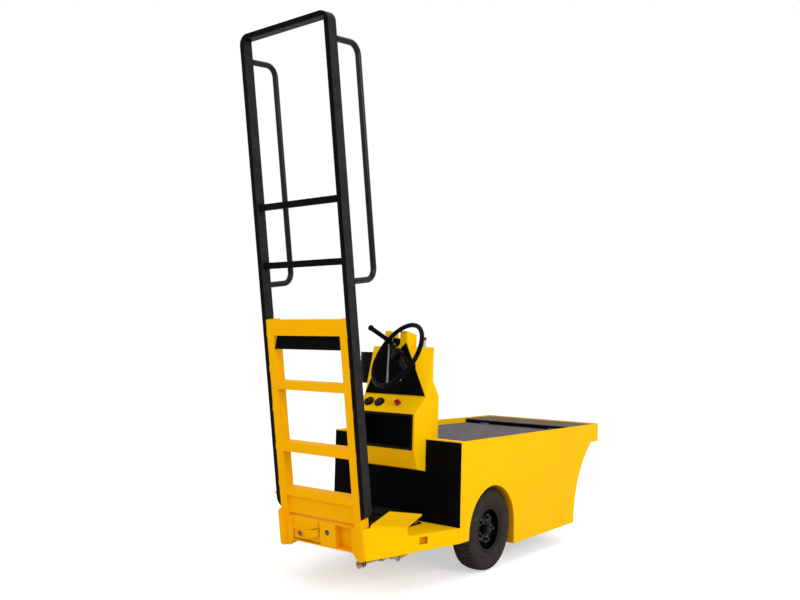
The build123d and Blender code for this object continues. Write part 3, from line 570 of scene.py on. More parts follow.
YELLOW = Paint(
    "tractor_yellow", Slot.BODY, (0.98, 0.560, 0.0), (0.975, 0.535, 0.0), 0.42, specular=0.02, dust_top=0.12
)
# A darker, more orange copy of the body yellow: painted shade for the ladder and the hitch, whose faces look
# backwards.
AMBER_PAINTED_SHADE = Paint(
    "ladder_yellow_painted_shade", Slot.BODY, (0.97, 0.465, 0.0), (0.95, 0.42, 0.0), 0.44, specular=0.02, dust_top=0.12
)
BLACK = Paint(
    "satin_black", Slot.BLACK, (0.0022, 0.0022, 0.0024), (0.0048, 0.0046, 0.0045), 0.48,
    chip=(0.035, 0.033, 0.031), wear=0.30, specular=0.015,
)
# A darker, browner copy of the body yellow: painted shade inside the wheel wells and the hand-hole pockets,
# with dust low down.
WELL_PAINTED_SHADE = Paint(
    "well_yellow_painted_shade", Slot.BODY, (0.72, 0.30, 0.0), (0.60, 0.24, 0.004), 0.50, chip=(0.2, 0.1, 0.03), wear=0.5,
    specular=0.02, dust_top=0.30,
)
# The hoop's faces that look sideways get a painted sheen.
TUBE = Paint(
    "tube_black", Slot.BLACK, (0.0018, 0.0018, 0.0015), (0.0050, 0.0048, 0.0038), 0.40,
    chip=(0.045, 0.042, 0.036), wear=0.40, specular=0.03, side_sheen=0.80,
)
RAIL = Paint(
    "rail_black", Slot.BLACK, (0.0022, 0.0022, 0.0020), (0.0070, 0.0068, 0.0058), 0.20,
    chip=(0.050, 0.046, 0.040), wear=0.40, coat=0.06, specular=0.16,
)
WHEEL_BLACK = Paint(
    "wheel_black", Slot.WHEEL, (0.0022, 0.0022, 0.0026), (0.006, 0.005, 0.005), 0.24,
    chip=(0.007, 0.006, 0.005), wear=0.15, coat=0.02, specular=0.05,
)
NUT_BLACK = Paint(
    "nut_black", Slot.WHEEL, (0.003, 0.003, 0.0035), (0.008, 0.007, 0.006), 0.14,
    chip=(0.05, 0.048, 0.045), wear=0.2, coat=0.2, specular=0.2,
)
DECK = GripCoat(
    "deck_grip", Slot.DECK, (0.046, 0.040, 0.047), (0.108, 0.096, 0.108), 0.66, third=(0.25, 0.215, 0.22)
)
SHELF = GripCoat(
    "shelf_grip", Slot.DECK, (0.040, 0.036, 0.036), (0.098, 0.084, 0.074), 0.66, third=(0.30, 0.20, 0.08)
)
TYRE = Rubber("dusty_tyre", Slot.TYRE, (0.021, 0.018, 0.016), (0.080, 0.061, 0.047), 0.78, dust=0.66)
MAT = Rubber("ribbed_mat", Slot.MAT, (0.006, 0.006, 0.006), (0.020, 0.018, 0.016), 0.62, dust=0.4)
PLASTIC = Plastic(
    "moulded_black", Slot.PLASTIC, (0.0040, 0.0040, 0.0042), (0.010, 0.010, 0.010), 0.38, specular=0.05
)
GRIP = Plastic(
    "grip_plastic", Slot.PLASTIC, (0.0028, 0.0028, 0.0030), (0.008, 0.008, 0.008), 0.30,
    grain=650.0, relief=0.0003, specular=0.02,
)
RED = Plastic(
    "moulded_red", Slot.RED, (0.36, 0.006, 0.008), (0.25, 0.010, 0.010), 0.25,
    grain=1500.0, relief=0.00005, specular=0.12,
)
PALE = Plastic("pale_plastic", Slot.PLASTIC, (0.52, 0.52, 0.50), (0.40, 0.39, 0.37), 0.40, relief=0.00005)
ZINC = Metal("zinc_plate", Slot.BLACK, (0.62, 0.61, 0.58), (0.30, 0.26, 0.20), 0.28)
STEEL = Metal("bare_steel", Slot.BLACK, (0.30, 0.26, 0.22), (0.16, 0.09, 0.05), 0.38, stain=0.6)
# Pale grey of the wheel's brace: a painted highlight along a dark bar.
BRACE_HIGHLIGHT_STEEL = Metal("pale_steel_painted_highlight", Slot.BLACK, (0.19, 0.19, 0.19), (0.10, 0.10, 0.095), 0.42, stain=0.3)
BICHROME = Metal("gold_plate", Slot.BLACK, (0.42, 0.27, 0.10), (0.16, 0.09, 0.05), 0.30, stain=0.5)
RUST = Metal("rusty_steel", Slot.BLACK, (0.22, 0.13, 0.07), (0.10, 0.045, 0.018), 0.42, stain=0.8)
CAST = Casting("black_casting", Slot.CAST, (0.018, 0.018, 0.018), (0.09, 0.045, 0.02), 0.45)
LEAD = Casting("lead_strap", Slot.PLASTIC, (0.16, 0.16, 0.17), (0.28, 0.28, 0.27), 0.4)
DIAL = Plastic(
    "dial_face", Slot.PLASTIC, (0.004, 0.004, 0.005), (0.008, 0.008, 0.008), 0.5,
    relief=0.00002, specular=0.02,
)
MARK = Plastic(
    "dial_mark", Slot.PLASTIC, (0.12, 0.12, 0.10), (0.09, 0.09, 0.08), 0.5, relief=0.00002, specular=0.05
)
GLASS = Glass("cover_glass", Slot.PLASTIC, (0.96, 0.97, 0.97), (0.9, 0.9, 0.9), 0.03)


# Mesh building


def facing(origin: Point, out: Point, side: Point = (0.0, 1.0, 0.0)) -> Matrix:
    """A placement whose Z looks along a direction.

    Args:
        origin: where it stands.
        out: the direction of its Z.
        side: the direction that its X comes nearest to.

    Returns:
        The placement.
    """
    z = Vector(out).normalized()
    x = Vector(side)
    x = (x - z * x.dot(z)).normalized()
    y = z.cross(x)
    turn = Matrix((x, y, z)).transposed().to_4x4()
    return Matrix.Translation(Vector(origin)) @ turn


def upright(origin: Point) -> Matrix:
    """A placement whose Z looks up and whose X looks ahead."""
    return facing(origin, UP, AHEAD)


def sideways(origin: Point, side: float) -> Matrix:
    """A placement whose Z looks to the left, or to the right for a side of -1, and whose X looks ahead."""
    return facing(origin, (0.0, side, 0.0), AHEAD)


def backward(origin: Point) -> Matrix:
    """A placement whose Z looks backwards and whose X looks to the left."""
    return facing(origin, BACK)


def polar(radius: float, angle: float) -> tuple[float, float]:
    """A point of a circle at an angle in radians."""
    return (radius * math.cos(angle), radius * math.sin(angle))


def bend(radius: float, degrees: Iterable[float]) -> list[tuple[float, float]]:
    """Points of a circle at angles in degrees."""
    return [polar(radius, math.radians(angle)) for angle in degrees]


def turns(steps: int) -> list[float]:
    """The angles in radians of evenly spaced steps round a circle."""
    return [2.0 * math.pi * i / steps for i in range(steps)]


def beside(centre: Vector, side: float, out: float, radius: float, degrees: float) -> Vector:
    """A point on a circle round an axis that runs across the tractor.

    Args:
        centre: a point of the axis.
        side: +1 for the left and -1 for the right.
        out: distance of the circle from that point, to that side.
        radius: radius of the circle.
        degrees: angle round it, from ahead to up.

    Returns:
        The point.
    """
    x, z = polar(radius, math.radians(degrees))
    return centre + Vector((x, side * out, z))


def bands(rows: int, width: int, closed: bool = False) -> list[tuple[int, ...]]:
    """Faces between rings of corners that follow each other.

    Args:
        rows: how many rings there are.
        width: corners of each ring.
        closed: whether the last ring joins the first.

    Returns:
        The corner numbers of each face.
    """
    faces: list[tuple[int, ...]] = []
    for row in range(rows if closed else rows - 1):
        low, high = row * width, (row + 1) % rows * width
        for i in range(width):
            j = (i + 1) % width
            faces.append((low + i, low + j, high + j, high + i))
    return faces


def shifted(profile: Outline, radius: float, height: float = 0.0) -> list[tuple[float, float]]:
    """Moves a profile outwards and up.

    Args:
        profile: (radius, height) of each of its points.
        radius: how far outwards.
        height: how far up.

    Returns:
        The moved profile.
    """
    return [(radius + r, height + h) for r, h in profile]


# Shares of a screw head's radius: radius, height
SCREW_HEAD = ((1.0, 0.0), (0.96, 0.22), (0.72, 0.42), (0.42, 0.48), (0.40, 0.20), (0.0, 0.18))
# A weld's ripples: their pitch, swing, unevenness and the taper of its ends, as shares of its size
WELD_PITCH, WELD_SWING, WELD_UNEVEN, WELD_TAPER = 0.55, 0.16, 0.10, 0.35


class Form:
    """Points and faces that are gathered for one piece."""

    def __init__(self) -> None:
        """Starts empty."""
        self.points: list[Vector] = []
        self.faces: list[tuple[int, ...]] = []

    def add(self, points: Iterable[Point], faces: Iterable[Sequence[int]], place: Matrix) -> None:
        """Adds a shape.

        Args:
            points: its corners, in the placement's own axes.
            faces: corner numbers of each face.
            place: the placement.
        """
        start = len(self.points)
        self.points.extend(place @ Vector(p) for p in points)
        self.faces.extend(tuple(start + i for i in f) for f in faces)

    def lathe(self, profile: Outline, place: Matrix, steps: int) -> None:
        """Turns a profile round the placement's Z.

        Args:
            profile: (radius, height) from one end to the other; a radius of 0 closes an end.
            place: the placement.
            steps: sides of the turned shape.
        """
        points: list[Vector] = []
        rows: list[list[int]] = []
        for radius, height in profile:
            start = len(points)
            if radius <= 0.0:
                rows.append([start] * steps)
                points.append(Vector((0.0, 0.0, height)))
            else:
                rows.append([start + i for i in range(steps)])
                points.extend(Vector((*polar(radius, angle), height)) for angle in turns(steps))
        faces = []
        for low, high in zip(rows, rows[1:]):
            for i in range(steps):
                j = (i + 1) % steps
                faces.append(tuple(dict.fromkeys((low[i], low[j], high[j], high[i]))))
        self.add(points, faces, place)

    def prism(self, outline: Outline, depth: float, place: Matrix, edge: float = 0.0) -> None:
        """Raises an outline along the placement's Z, with a chamfer round its top.

        Args:
            outline: corners, counterclockwise.
            depth: how far it rises.
            place: the placement.
            edge: width of the chamfer.
        """
        count = len(outline)
        levels = [(outline, 0.0), (outline, depth - edge)]
        if edge > 0.0:
            levels.append((shrink(outline, edge), depth))
        points = [Vector((x, y, h)) for ring, h in levels for x, y in ring]
        top = (len(levels) - 1) * count
        base = tuple(range(count - 1, -1, -1))
        self.add(points, [base, *bands(len(levels), count), tuple(range(top, top + count))], place)

    def frame(self, outer: Outline, inner: Outline, depth: float, place: Matrix) -> None:
        """Raises the band between two outlines along the placement's Z.

        Args:
            outer: corners of the outer edge, counterclockwise.
            inner: as many corners of the inner edge.
            depth: how far it rises.
            place: the placement.
        """
        count = len(outer)
        points = [Vector((x, y, h)) for h in (0.0, depth) for ring in (outer, inner) for x, y in ring]
        low_out, low_in, top_out, top_in = 0, count, 2 * count, 3 * count
        faces: list[tuple[int, ...]] = []
        for i in range(count):
            j = (i + 1) % count
            faces.append((low_out + i, low_out + j, top_out + j, top_out + i))
            faces.append((low_in + j, low_in + i, top_in + i, top_in + j))
            faces.append((top_out + i, top_out + j, top_in + j, top_in + i))
            faces.append((low_out + j, low_out + i, low_in + i, low_in + j))
        self.add(points, faces, place)

    def button(self, place: Matrix, radius: float) -> None:
        """A low round screw head with its recess.

        Args:
            place: the seat, with Z outwards.
            radius: radius of the head.
        """
        self.lathe([(radius * r, radius * h) for r, h in SCREW_HEAD], place, 20)

    def sweep(
        self, line: Sequence[Vector], sizes: Sequence[float], normal: Vector, steps: int, closed: bool
    ) -> None:
        """Runs a round section along a line.

        Args:
            line: the points of its middle.
            sizes: its radius at each point.
            normal: the direction in which the first corner lies at the start.
            steps: its sides.
            closed: whether it joins up with its start.
        """
        count = len(line)
        points: list[Vector] = []
        for i, centre in enumerate(line):
            after = line[(i + 1) % count] if closed or i + 1 < count else centre
            before = line[i - 1] if closed or i else centre
            along = (after - before).normalized()
            if abs(along.dot(normal)) > 0.95:
                normal = AHEAD if abs(along.x) < 0.9 else LEFT
            normal = (normal - along * normal.dot(along)).normalized()
            other = along.cross(normal)
            for a in turns(steps):
                points.append(centre + (normal * math.cos(a) + other * math.sin(a)) * sizes[i])
        faces = bands(count, steps, closed)
        if not closed:
            faces.append(tuple(range(steps - 1, -1, -1)))
            faces.append(tuple((count - 1) * steps + k for k in range(steps)))
        self.add(points, faces, Matrix.Identity(4))

    def tube(self, line: Sequence[Vector], radius: float, steps: int, closed: bool = False) -> None:
        """Runs a round bar along a line.

        Args:
            line: the points of its middle.
            radius: its radius.
            steps: its sides.
            closed: whether it joins up with its start.
        """
        self.sweep(line, [radius] * len(line), UP, steps, closed)

    def hexagon(self, place: Matrix, across: float, height: float, washer: float) -> None:
        """A hexagon nut or bolt head with rounded corners, on its washer.

        Args:
            place: the seat, with Z outwards.
            across: width over the flats.
            height: height of the head.
            washer: thickness of the washer.
        """
        ring = across * 0.98
        self.lathe([(ring, 0.0), (ring, washer * 0.8), (ring * 0.97, washer), (0.0, washer)], place, 28)
        steps = 36
        half = across / 2.0
        corner = across / math.sqrt(3.0) * 0.985
        points: list[Vector] = []
        for level, chamfered in ((0.0, False), (0.82, False), (1.0, True)):
            for a in turns(steps):
                flat = half / max(math.cos((a + math.pi / 6.0) % (math.pi / 3.0) - math.pi / 6.0), 0.8)
                radius = half * 0.9 if chamfered else min(flat, corner)
                points.append(Vector((*polar(radius, a), washer + level * height)))
        self.add(points, [*bands(3, steps), tuple(2 * steps + i for i in range(steps))], place)

    def weld(self, line: Sequence[Vector], radius: float, seed: int, closed: bool = False) -> None:
        """A rippled weld bead.

        Args:
            line: the points of its root.
            radius: its size.
            seed: starts its unevenness.
            closed: whether it runs all round.
        """
        dice = random.Random(seed)
        spots: list[Vector] = []
        for a, b in zip(line, list(line[1:]) + ([line[0]] if closed else [])):
            count = max(2, int((b - a).length / (radius * WELD_PITCH)))
            spots.extend(a.lerp(b, i / count) for i in range(count))
        if not closed:
            spots.append(line[-1])
        sizes: list[float] = []
        for i in range(len(spots)):
            ripple = WELD_SWING * (1.0 if i % 2 else -1.0)
            size = radius * (1.0 + ripple + dice.uniform(-WELD_UNEVEN, WELD_UNEVEN))
            ends = not closed and i in (0, len(spots) - 1)
            sizes.append(size * WELD_TAPER if ends else size)
        self.sweep(spots, sizes, Vector((0.3, 0.5, 0.8)).normalized(), 8, closed)

    def piece(
        self,
        name: str,
        finish: Finish,
        body: Body = Body.CHASSIS,
        replaces: Sequence[str] = (),
        sharp: float = 32.0,
    ) -> None:
        """Makes the object.

        Args:
            name: the piece's name.
            finish: what it is made of.
            body: the body that it rides on.
            replaces: CAD nodes that it stands for.
            sharp: degrees over which an edge stays sharp.
        """
        mesh = bpy.data.meshes.new(name)
        mesh.from_pydata([tuple(p) for p in self.points], [], self.faces)
        mesh.validate()
        mesh.polygons.foreach_set("use_smooth", [True] * len(mesh.polygons))
        mesh.set_sharp_from_angle(angle=math.radians(sharp))
        mesh.materials.append(finish.material())
        made = bpy.data.objects.new(name, mesh)
        bpy.context.scene.collection.objects.link(made)
        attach(made, body.value)
        if replaces:
            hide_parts(*replaces)
        LOG.info("piece %s: %d faces", name, len(self.faces))


def shrink(outline: Outline, edge: float) -> list[tuple[float, float]]:
    """Moves each side of an outline inwards.

    Args:
        outline: corners, counterclockwise.
        edge: how far.

    Returns:
        The smaller outline.
    """
    count = len(outline)
    result = []
    for i in range(count):
        here = Vector(outline[i])
        before = (here - Vector(outline[i - 1])).normalized()
        after = (Vector(outline[(i + 1) % count]) - here).normalized()
        inward_a = Vector((-before.y, before.x))
        inward_b = Vector((-after.y, after.x))
        total = inward_a + inward_b
        scale = edge * 2.0 / max(total.length_squared, 0.2)
        result.append(tuple(here + total * scale))
    return result


def rounded(width: float, height: float, corner: float, steps: int = 5) -> list[tuple[float, float]]:
    """The outline of a rectangle with round corners.

    Args:
        width: along X.
        height: along Y.
        corner: radius of the corners.
        steps: points on each corner.

    Returns:
        Its corners, counterclockwise.
    """
    result = []
    for quarter, (across, up) in enumerate(((1, 1), (-1, 1), (-1, -1), (1, -1))):
        x, y = across * (width / 2 - corner), up * (height / 2 - corner)
        for i in range(steps + 1):
            a = math.radians(90.0 * quarter + 90.0 * i / steps)
            result.append((x + corner * math.cos(a), y + corner * math.sin(a)))
    return result


def arc(centre: Vector, first: Vector, second: Vector, start: float, end: float, steps: int) -> list[Vector]:
    """Points along an arc.

    Args:
        centre: its centre.
        first: the radius at 0 degrees.
        second: the radius at 90 degrees.
        start: where it starts, in degrees.
        end: where it ends.
        steps: runs between them.

    Returns:
        One point more than the runs.
    """
    result = []
    for i in range(steps + 1):
        a = math.radians(start + (end - start) * i / steps)
        result.append(centre + first * math.cos(a) + second * math.sin(a))
    return result


def circle(radius: float, steps: int) -> list[tuple[float, float]]:
    """The outline of a circle, counterclockwise."""
    return [polar(radius, angle) for angle in turns(steps)]


# The tractor's sub-assemblies


@dataclass
class Assembly:
    """A group of pieces that belong together.
    """

    frame: dict

    def dress(self, finish: Finish, *names: str) -> None:
        """Gives CAD nodes a finish.

        Args:
            finish: what they are made of.
            names: the nodes.
        """
        for name in names:
            node = self.frame["nodes"][name]
            node.data.materials.clear()
            node.data.materials.append(finish.material())

    @property
    def wall(self) -> float:
        """X of the bulkhead's rear face, from which the tractor's lengths are measured."""
        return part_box("bulkhead")[0].x

    def spot(self, ahead: float, side: float, height: float) -> Vector:
        """A point of the tractor.

        Args:
            ahead: distance forward from the bulkhead.
            side: Y.
            height: Z.

        Returns:
            The point.
        """
        return Vector((self.wall + ahead, side, height))

    def joint(self, name: str) -> dict:
        """Returns the joint's row of the record."""
        return next(row for row in self.frame["joints"] if row["name"] == name)

    def build(self) -> None:
        """Builds and dresses every piece."""
        raise NotImplementedError


@dataclass
class LadderPlane:
    """The plane of the leaning ladder's rear face.

    Args:
        foot: X of the plane on the floor.
        lean: its lean in degrees.
    """

    foot: float = -0.8380
    lean: float = 8.97

    @property
    def up(self) -> Vector:
        """Direction up the ladder."""
        return Vector((-math.sin(math.radians(self.lean)), 0.0, math.cos(math.radians(self.lean))))

    @property
    def ahead(self) -> Vector:
        """Direction from the rear face into the ladder."""
        return Vector((math.cos(math.radians(self.lean)), 0.0, math.sin(math.radians(self.lean))))

    def at(self, side: float, along: float, depth: float = 0.0) -> Vector:
        """A point on the ladder.

        Args:
            side: Y.
            along: distance up the ladder.
            depth: distance ahead of the rear face.

        Returns:
            The point.
        """
        return Vector((self.foot, side, 0.0)) + self.up * along + self.ahead * depth

    def rear(self, side: float, along: float, depth: float = 0.0) -> Matrix:
        """A placement at that point that looks backwards, with X to the left."""
        return facing(self.at(side, along, depth), -self.ahead)


@dataclass
class Tyre:
    """The grooved tyre that all three wheels have.

    Args:
        radius: outer radius.
        repeats: tread blocks round it.
        zigzag: how far the grooves swing.
        groove: depth of the grooves.
        groove_sides: Y of the grooves' middles.
        notch: depth of the shoulder notches.
        left_notch: where a left notch starts and ends, as shares of a repeat.
        right_notch: the same for a right notch.
        fade_radius: radius under which the notches run out.
        crown_fall: how much lower the tread is at its edge than in its middle.
        crown_edge: distance of that edge from the middle.
        stops: places along a repeat where the tyre has corners, as shares of it.
        flank: distance from the middle, radius, and 1 where notches cut, from the rim to the tread.
    """

    radius: float = 0.203
    repeats: int = 56
    zigzag: float = 0.0042
    groove: float = 0.0055
    groove_sides: tuple[float, ...] = (-0.0215, 0.0, 0.0215)
    notch: float = 0.0085
    left_notch: tuple[float, float] = (0.16, 0.40)
    right_notch: tuple[float, float] = (0.66, 0.90)
    fade_radius: float = 0.182
    crown_fall: float = 0.0035
    crown_edge: float = 0.034
    stops: tuple[float, ...] = (0.0, 0.12, 0.16, 0.40, 0.44, 0.5, 0.62, 0.66, 0.90, 0.94)
    flank: tuple[tuple[float, float, float], ...] = (
        (0.0360, 0.1100, 0.0), (0.0400, 0.1160, 0.0), (0.0445, 0.1205, 0.0), (0.0470, 0.1250, 0.0),
        (0.0490, 0.1262, 0.0), (0.0500, 0.1275, 0.0), (0.0512, 0.1340, 0.0), (0.0530, 0.1420, 0.0),
        (0.0542, 0.1425, 0.0), (0.0544, 0.1450, 0.0), (0.0536, 0.1456, 0.0), (0.0540, 0.1560, 0.0),
        (0.0538, 0.1680, 0.0), (0.0524, 0.1780, 0.0), (0.0520, 0.1800, 1.0), (0.0503, 0.1880, 1.0),
        (0.0475, 0.1945, 1.0), (0.0430, 0.1972, 1.0), (0.0340, 0.1990, 1.0),
    )

    def columns(self) -> list[tuple[float, float, float, float]]:
        """Lines across the tyre.

        Returns:
            For each line its Y, radius, mark and share of the zigzag. The mark is 2 in a groove, +1 or -1 on
            the left or right shoulder, and otherwise 0.
        """
        lines = [(-y, r, -shoulder, 0.0) for y, r, shoulder in self.flank]
        for middle in self.groove_sides:
            for offset, mark in ((-0.0028, 0.0), (-0.0014, 2.0), (0.0014, 2.0), (0.0028, 0.0)):
                y = middle + offset
                lines.append((y, self.crown(y), mark, 1.0))
        lines.extend((y, r, shoulder, 0.0) for y, r, shoulder in reversed(self.flank))
        return lines

    def crown(self, y: float) -> float:
        """Radius of the tread at a place across it."""
        return self.radius - self.crown_fall * (y / self.crown_edge) ** 2

    def cut(self, mark: float, radius: float, stop: float) -> float:
        """Depth under the tread at one corner.

        Args:
            mark: the line's mark.
            radius: the line's radius.
            stop: the corner's place along a repeat.

        Returns:
            The depth.
        """
        if mark == 2.0:
            return self.groove
        low, high = self.left_notch if mark > 0.0 else self.right_notch
        if mark == 0.0 or not low <= stop <= high:
            return 0.0
        return self.notch * (0.15 if radius < self.fade_radius else 1.0)

    def form(self) -> Form:
        """Builds the tyre round the Y axis.

        Returns:
            The form, centred on the wheel's centre.
        """
        lines = self.columns()
        points: list[Vector] = []
        for i in range(self.repeats):
            for stop in self.stops:
                angle = 2.0 * math.pi * (i + stop) / self.repeats
                swing = self.zigzag * (4.0 * abs(stop - 0.5) - 1.0)
                for y, radius, mark, share in lines:
                    r = radius - self.cut(mark, radius, stop)
                    points.append(Vector((r * math.sin(angle), y + swing * share, r * math.cos(angle))))
        shape = Form()
        shape.add(points, bands(self.repeats * len(self.stops), len(lines), closed=True), Matrix.Identity(4))
        return shape


@dataclass
class Wheels(Assembly):
    """Tyres, rims and wheel nuts. A profile gives a radius and a height for each of its points.

    Args:
        tread_sharp: degrees over which an edge of the tread stays sharp.
        nut_circle: radius of the circle of wheel nuts.
        nut_count: nuts on each wheel.
        nut_start: angle of the first nut in degrees.
        nut_across: width of a nut over its flats.
        nut_height: its height.
        washer: thickness of its washer.
        stud: profile of a stud.
        disc_face: distance from the wheel's middle plane to the nuts' seat.
        disc_root: the same for the outer part of the disc, where the valve stands.
        disc_roll: profile of the disc's rolled edge.
        cap_top: distance from the middle plane to the end of the hub's cap.
        cap_radius: radius of the hub's cap.
        cap_band: profile of the band round it, from its radius and top.
        grease_cap: profile of the grease cap, from the top of the hub's cap.
        valve_circle: radius at which the valve stands.
        valve_angle: its angle in degrees.
        valve: its profile.
    """

    tread_sharp: float = 28.0
    nut_circle: float = 0.0555
    nut_count: int = 5
    nut_start: float = 68.0
    nut_across: float = 0.018
    nut_height: float = 0.012
    washer: float = 0.002
    stud: Outline = ((0.0052, 0.0), (0.0052, 0.017), (0.0047, 0.0185), (0.0, 0.0185))
    disc_face: float = 0.021
    disc_root: float = 0.007
    disc_roll: Outline = (
        (0.0860, 0.0060), (0.0878, 0.0086), (0.0902, 0.0092), (0.0926, 0.0086), (0.0944, 0.0060)
    )
    cap_top: float = 0.036
    cap_radius: float = 0.030
    cap_band: Outline = ((0.0, -0.011), (0.0022, -0.010), (0.0022, -0.006), (0.0, -0.005))
    grease_cap: Outline = ((0.0225, -0.001), (0.0220, 0.004), (0.0185, 0.0075), (0.010, 0.009), (0.0, 0.0095))
    valve_circle: float = 0.0955
    valve_angle: float = -24.0
    valve: Outline = (
        (0.0062, -0.001), (0.0058, 0.003), (0.0040, 0.007), (0.0036, 0.020), (0.0046, 0.0205),
        (0.0046, 0.028), (0.0038, 0.0295), (0.0, 0.0295),
    )

    def build(self) -> None:
        """Builds the tyres, nuts, valves and hub caps of the three wheels."""
        tyre = Tyre()
        rows = (
            # name, joint, body, outward side, whether a cap closes the hub
            ("rear_left", "rear_left_spin", Body.REAR_LEFT, 1, True),
            ("rear_right", "rear_right_spin", Body.REAR_RIGHT, -1, True),
            ("front", "front_spin", Body.FRONT, 1, False),
        )
        for name, joint, body, side, capped in rows:
            low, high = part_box(f"tyre_{name}")
            centre = (low + high) / 2
            centre.z = self.joint(joint)["pos_m"][2]
            shape = tyre.form()
            shape.points = [p + centre for p in shape.points]
            shape.piece(f"tread_{name}", TYRE, body, [f"tyre_{name}"], self.tread_sharp)
            self.dress(WHEEL_BLACK, f"rim_{name}")
            self.nuts(name, centre, body, side)
            self.trim(name, centre, body, side, capped)

    def nuts(self, name: str, centre: Vector, body: Body, side: int) -> None:
        """Adds the wheel nuts and their studs.

        Args:
            name: the wheel.
            centre: its centre.
            body: its body.
            side: +1 where its outside looks to +Y.
        """
        nuts = Form()
        for i in range(self.nut_count):
            degrees = self.nut_start + 360.0 * i / self.nut_count
            seat = sideways(beside(centre, side, self.disc_face, self.nut_circle, degrees), side)
            nuts.hexagon(seat, self.nut_across, self.nut_height, self.washer)
            nuts.lathe(self.stud, seat, 16)
        nuts.piece(f"wheel_nuts_{name}", NUT_BLACK, body)

    def trim(self, name: str, centre: Vector, body: Body, side: int, capped: bool) -> None:
        """Adds the valve, the rolled edges of the disc and the grease cap.

        Args:
            name: the wheel.
            centre: its centre.
            body: its body.
            side: +1 where its outside looks to +Y.
            capped: whether a grease cap closes the hub.
        """
        place = sideways(centre, side)
        rings = Form()
        rings.lathe(shifted(self.cap_band, self.cap_radius, self.cap_top), place, 48)
        rings.lathe(self.disc_roll, place, 64)
        if capped:
            rings.lathe(shifted(self.grease_cap, 0.0, self.cap_top), place, 40)
        rings.piece(f"rim_trim_{name}", WHEEL_BLACK, body)
        valve = Form()
        seat = sideways(beside(centre, side, self.disc_root, self.valve_circle, self.valve_angle), side)
        valve.lathe(self.valve, seat, 18)
        valve.piece(f"valve_{name}", PLASTIC, body)


@dataclass
class CargoBody(Assembly):
    """Yellow body, its deck and the black bulkhead.

    Args:
        shelf_top: height of the raised shelf.
        screw_radius: radius of the screw heads.
        shelf_rows: distances ahead of the rows of screws on the shelf.
        shelf_sides: Y of the screws in each row.
        wall_sides: Y of the columns of screws on the bulkhead.
        wall_heights: heights of the screws in each column.
        seam_count: welds on each side of the nose.
        seam_start: height of the first weld over the nose's low edge.
        seam_pitch: distance from one weld to the next.
        seam_length: length of a weld.
        seam_size: its radius, and its distance from the side.
    """

    shelf_top: float = 0.652
    screw_radius: float = 0.0060
    shelf_rows: tuple[float, ...] = (1.296, 1.556)
    shelf_sides: tuple[float, ...] = (0.360, 0.0, -0.360)
    wall_sides: tuple[float, ...] = (0.375, -0.375)
    wall_heights: tuple[float, ...] = (0.290, 0.455, 0.625)
    seam_count: int = 4
    seam_start: float = 0.03
    seam_pitch: float = 0.11
    seam_length: float = 0.05
    seam_size: float = 0.003

    def build(self) -> None:
        """Dresses the body's panels and adds their screws and seams."""
        self.dress(YELLOW, "side_panel_left", "side_panel_right", "nose_panel", "rear_coaming")
        # The wheel wells take the darker yellow, painted shade.
        self.dress(WELL_PAINTED_SHADE, "wheel_well_left", "wheel_well_right")
        self.dress(BLACK, "bulkhead", "shelf_riser")
        self.dress(DECK, "deck_lid")
        self.dress(SHELF, "front_shelf")
        self.screws()
        self.seams()

    def screws(self) -> None:
        """Adds the screws of the shelf and of the bulkhead."""
        shelf = Form()
        for ahead in self.shelf_rows:
            for side in self.shelf_sides:
                shelf.button(upright(self.spot(ahead, side, self.shelf_top)), self.screw_radius)
        shelf.piece("shelf_screws", STEEL)
        wall = Form()
        for side in self.wall_sides:
            for height in self.wall_heights:
                wall.button(backward(self.spot(0.0, side, height)), self.screw_radius)
        wall.piece("bulkhead_screws", BLACK)

    def seams(self) -> None:
        """Runs the welds inside the body, between its sides and the nose."""
        low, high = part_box("nose_panel")
        beads = Form()
        seed = 11
        for side in (low.y, high.y):
            root = side - self.seam_size if side > 0 else side + self.seam_size
            for number in range(self.seam_count):
                start = low.z + self.seam_start + self.seam_pitch * number
                line = [Vector((low.x - 0.001, root, z)) for z in (start, start + self.seam_length)]
                beads.weld(line, self.seam_size, seed)
                seed += 1
        beads.piece("nose_welds", YELLOW)


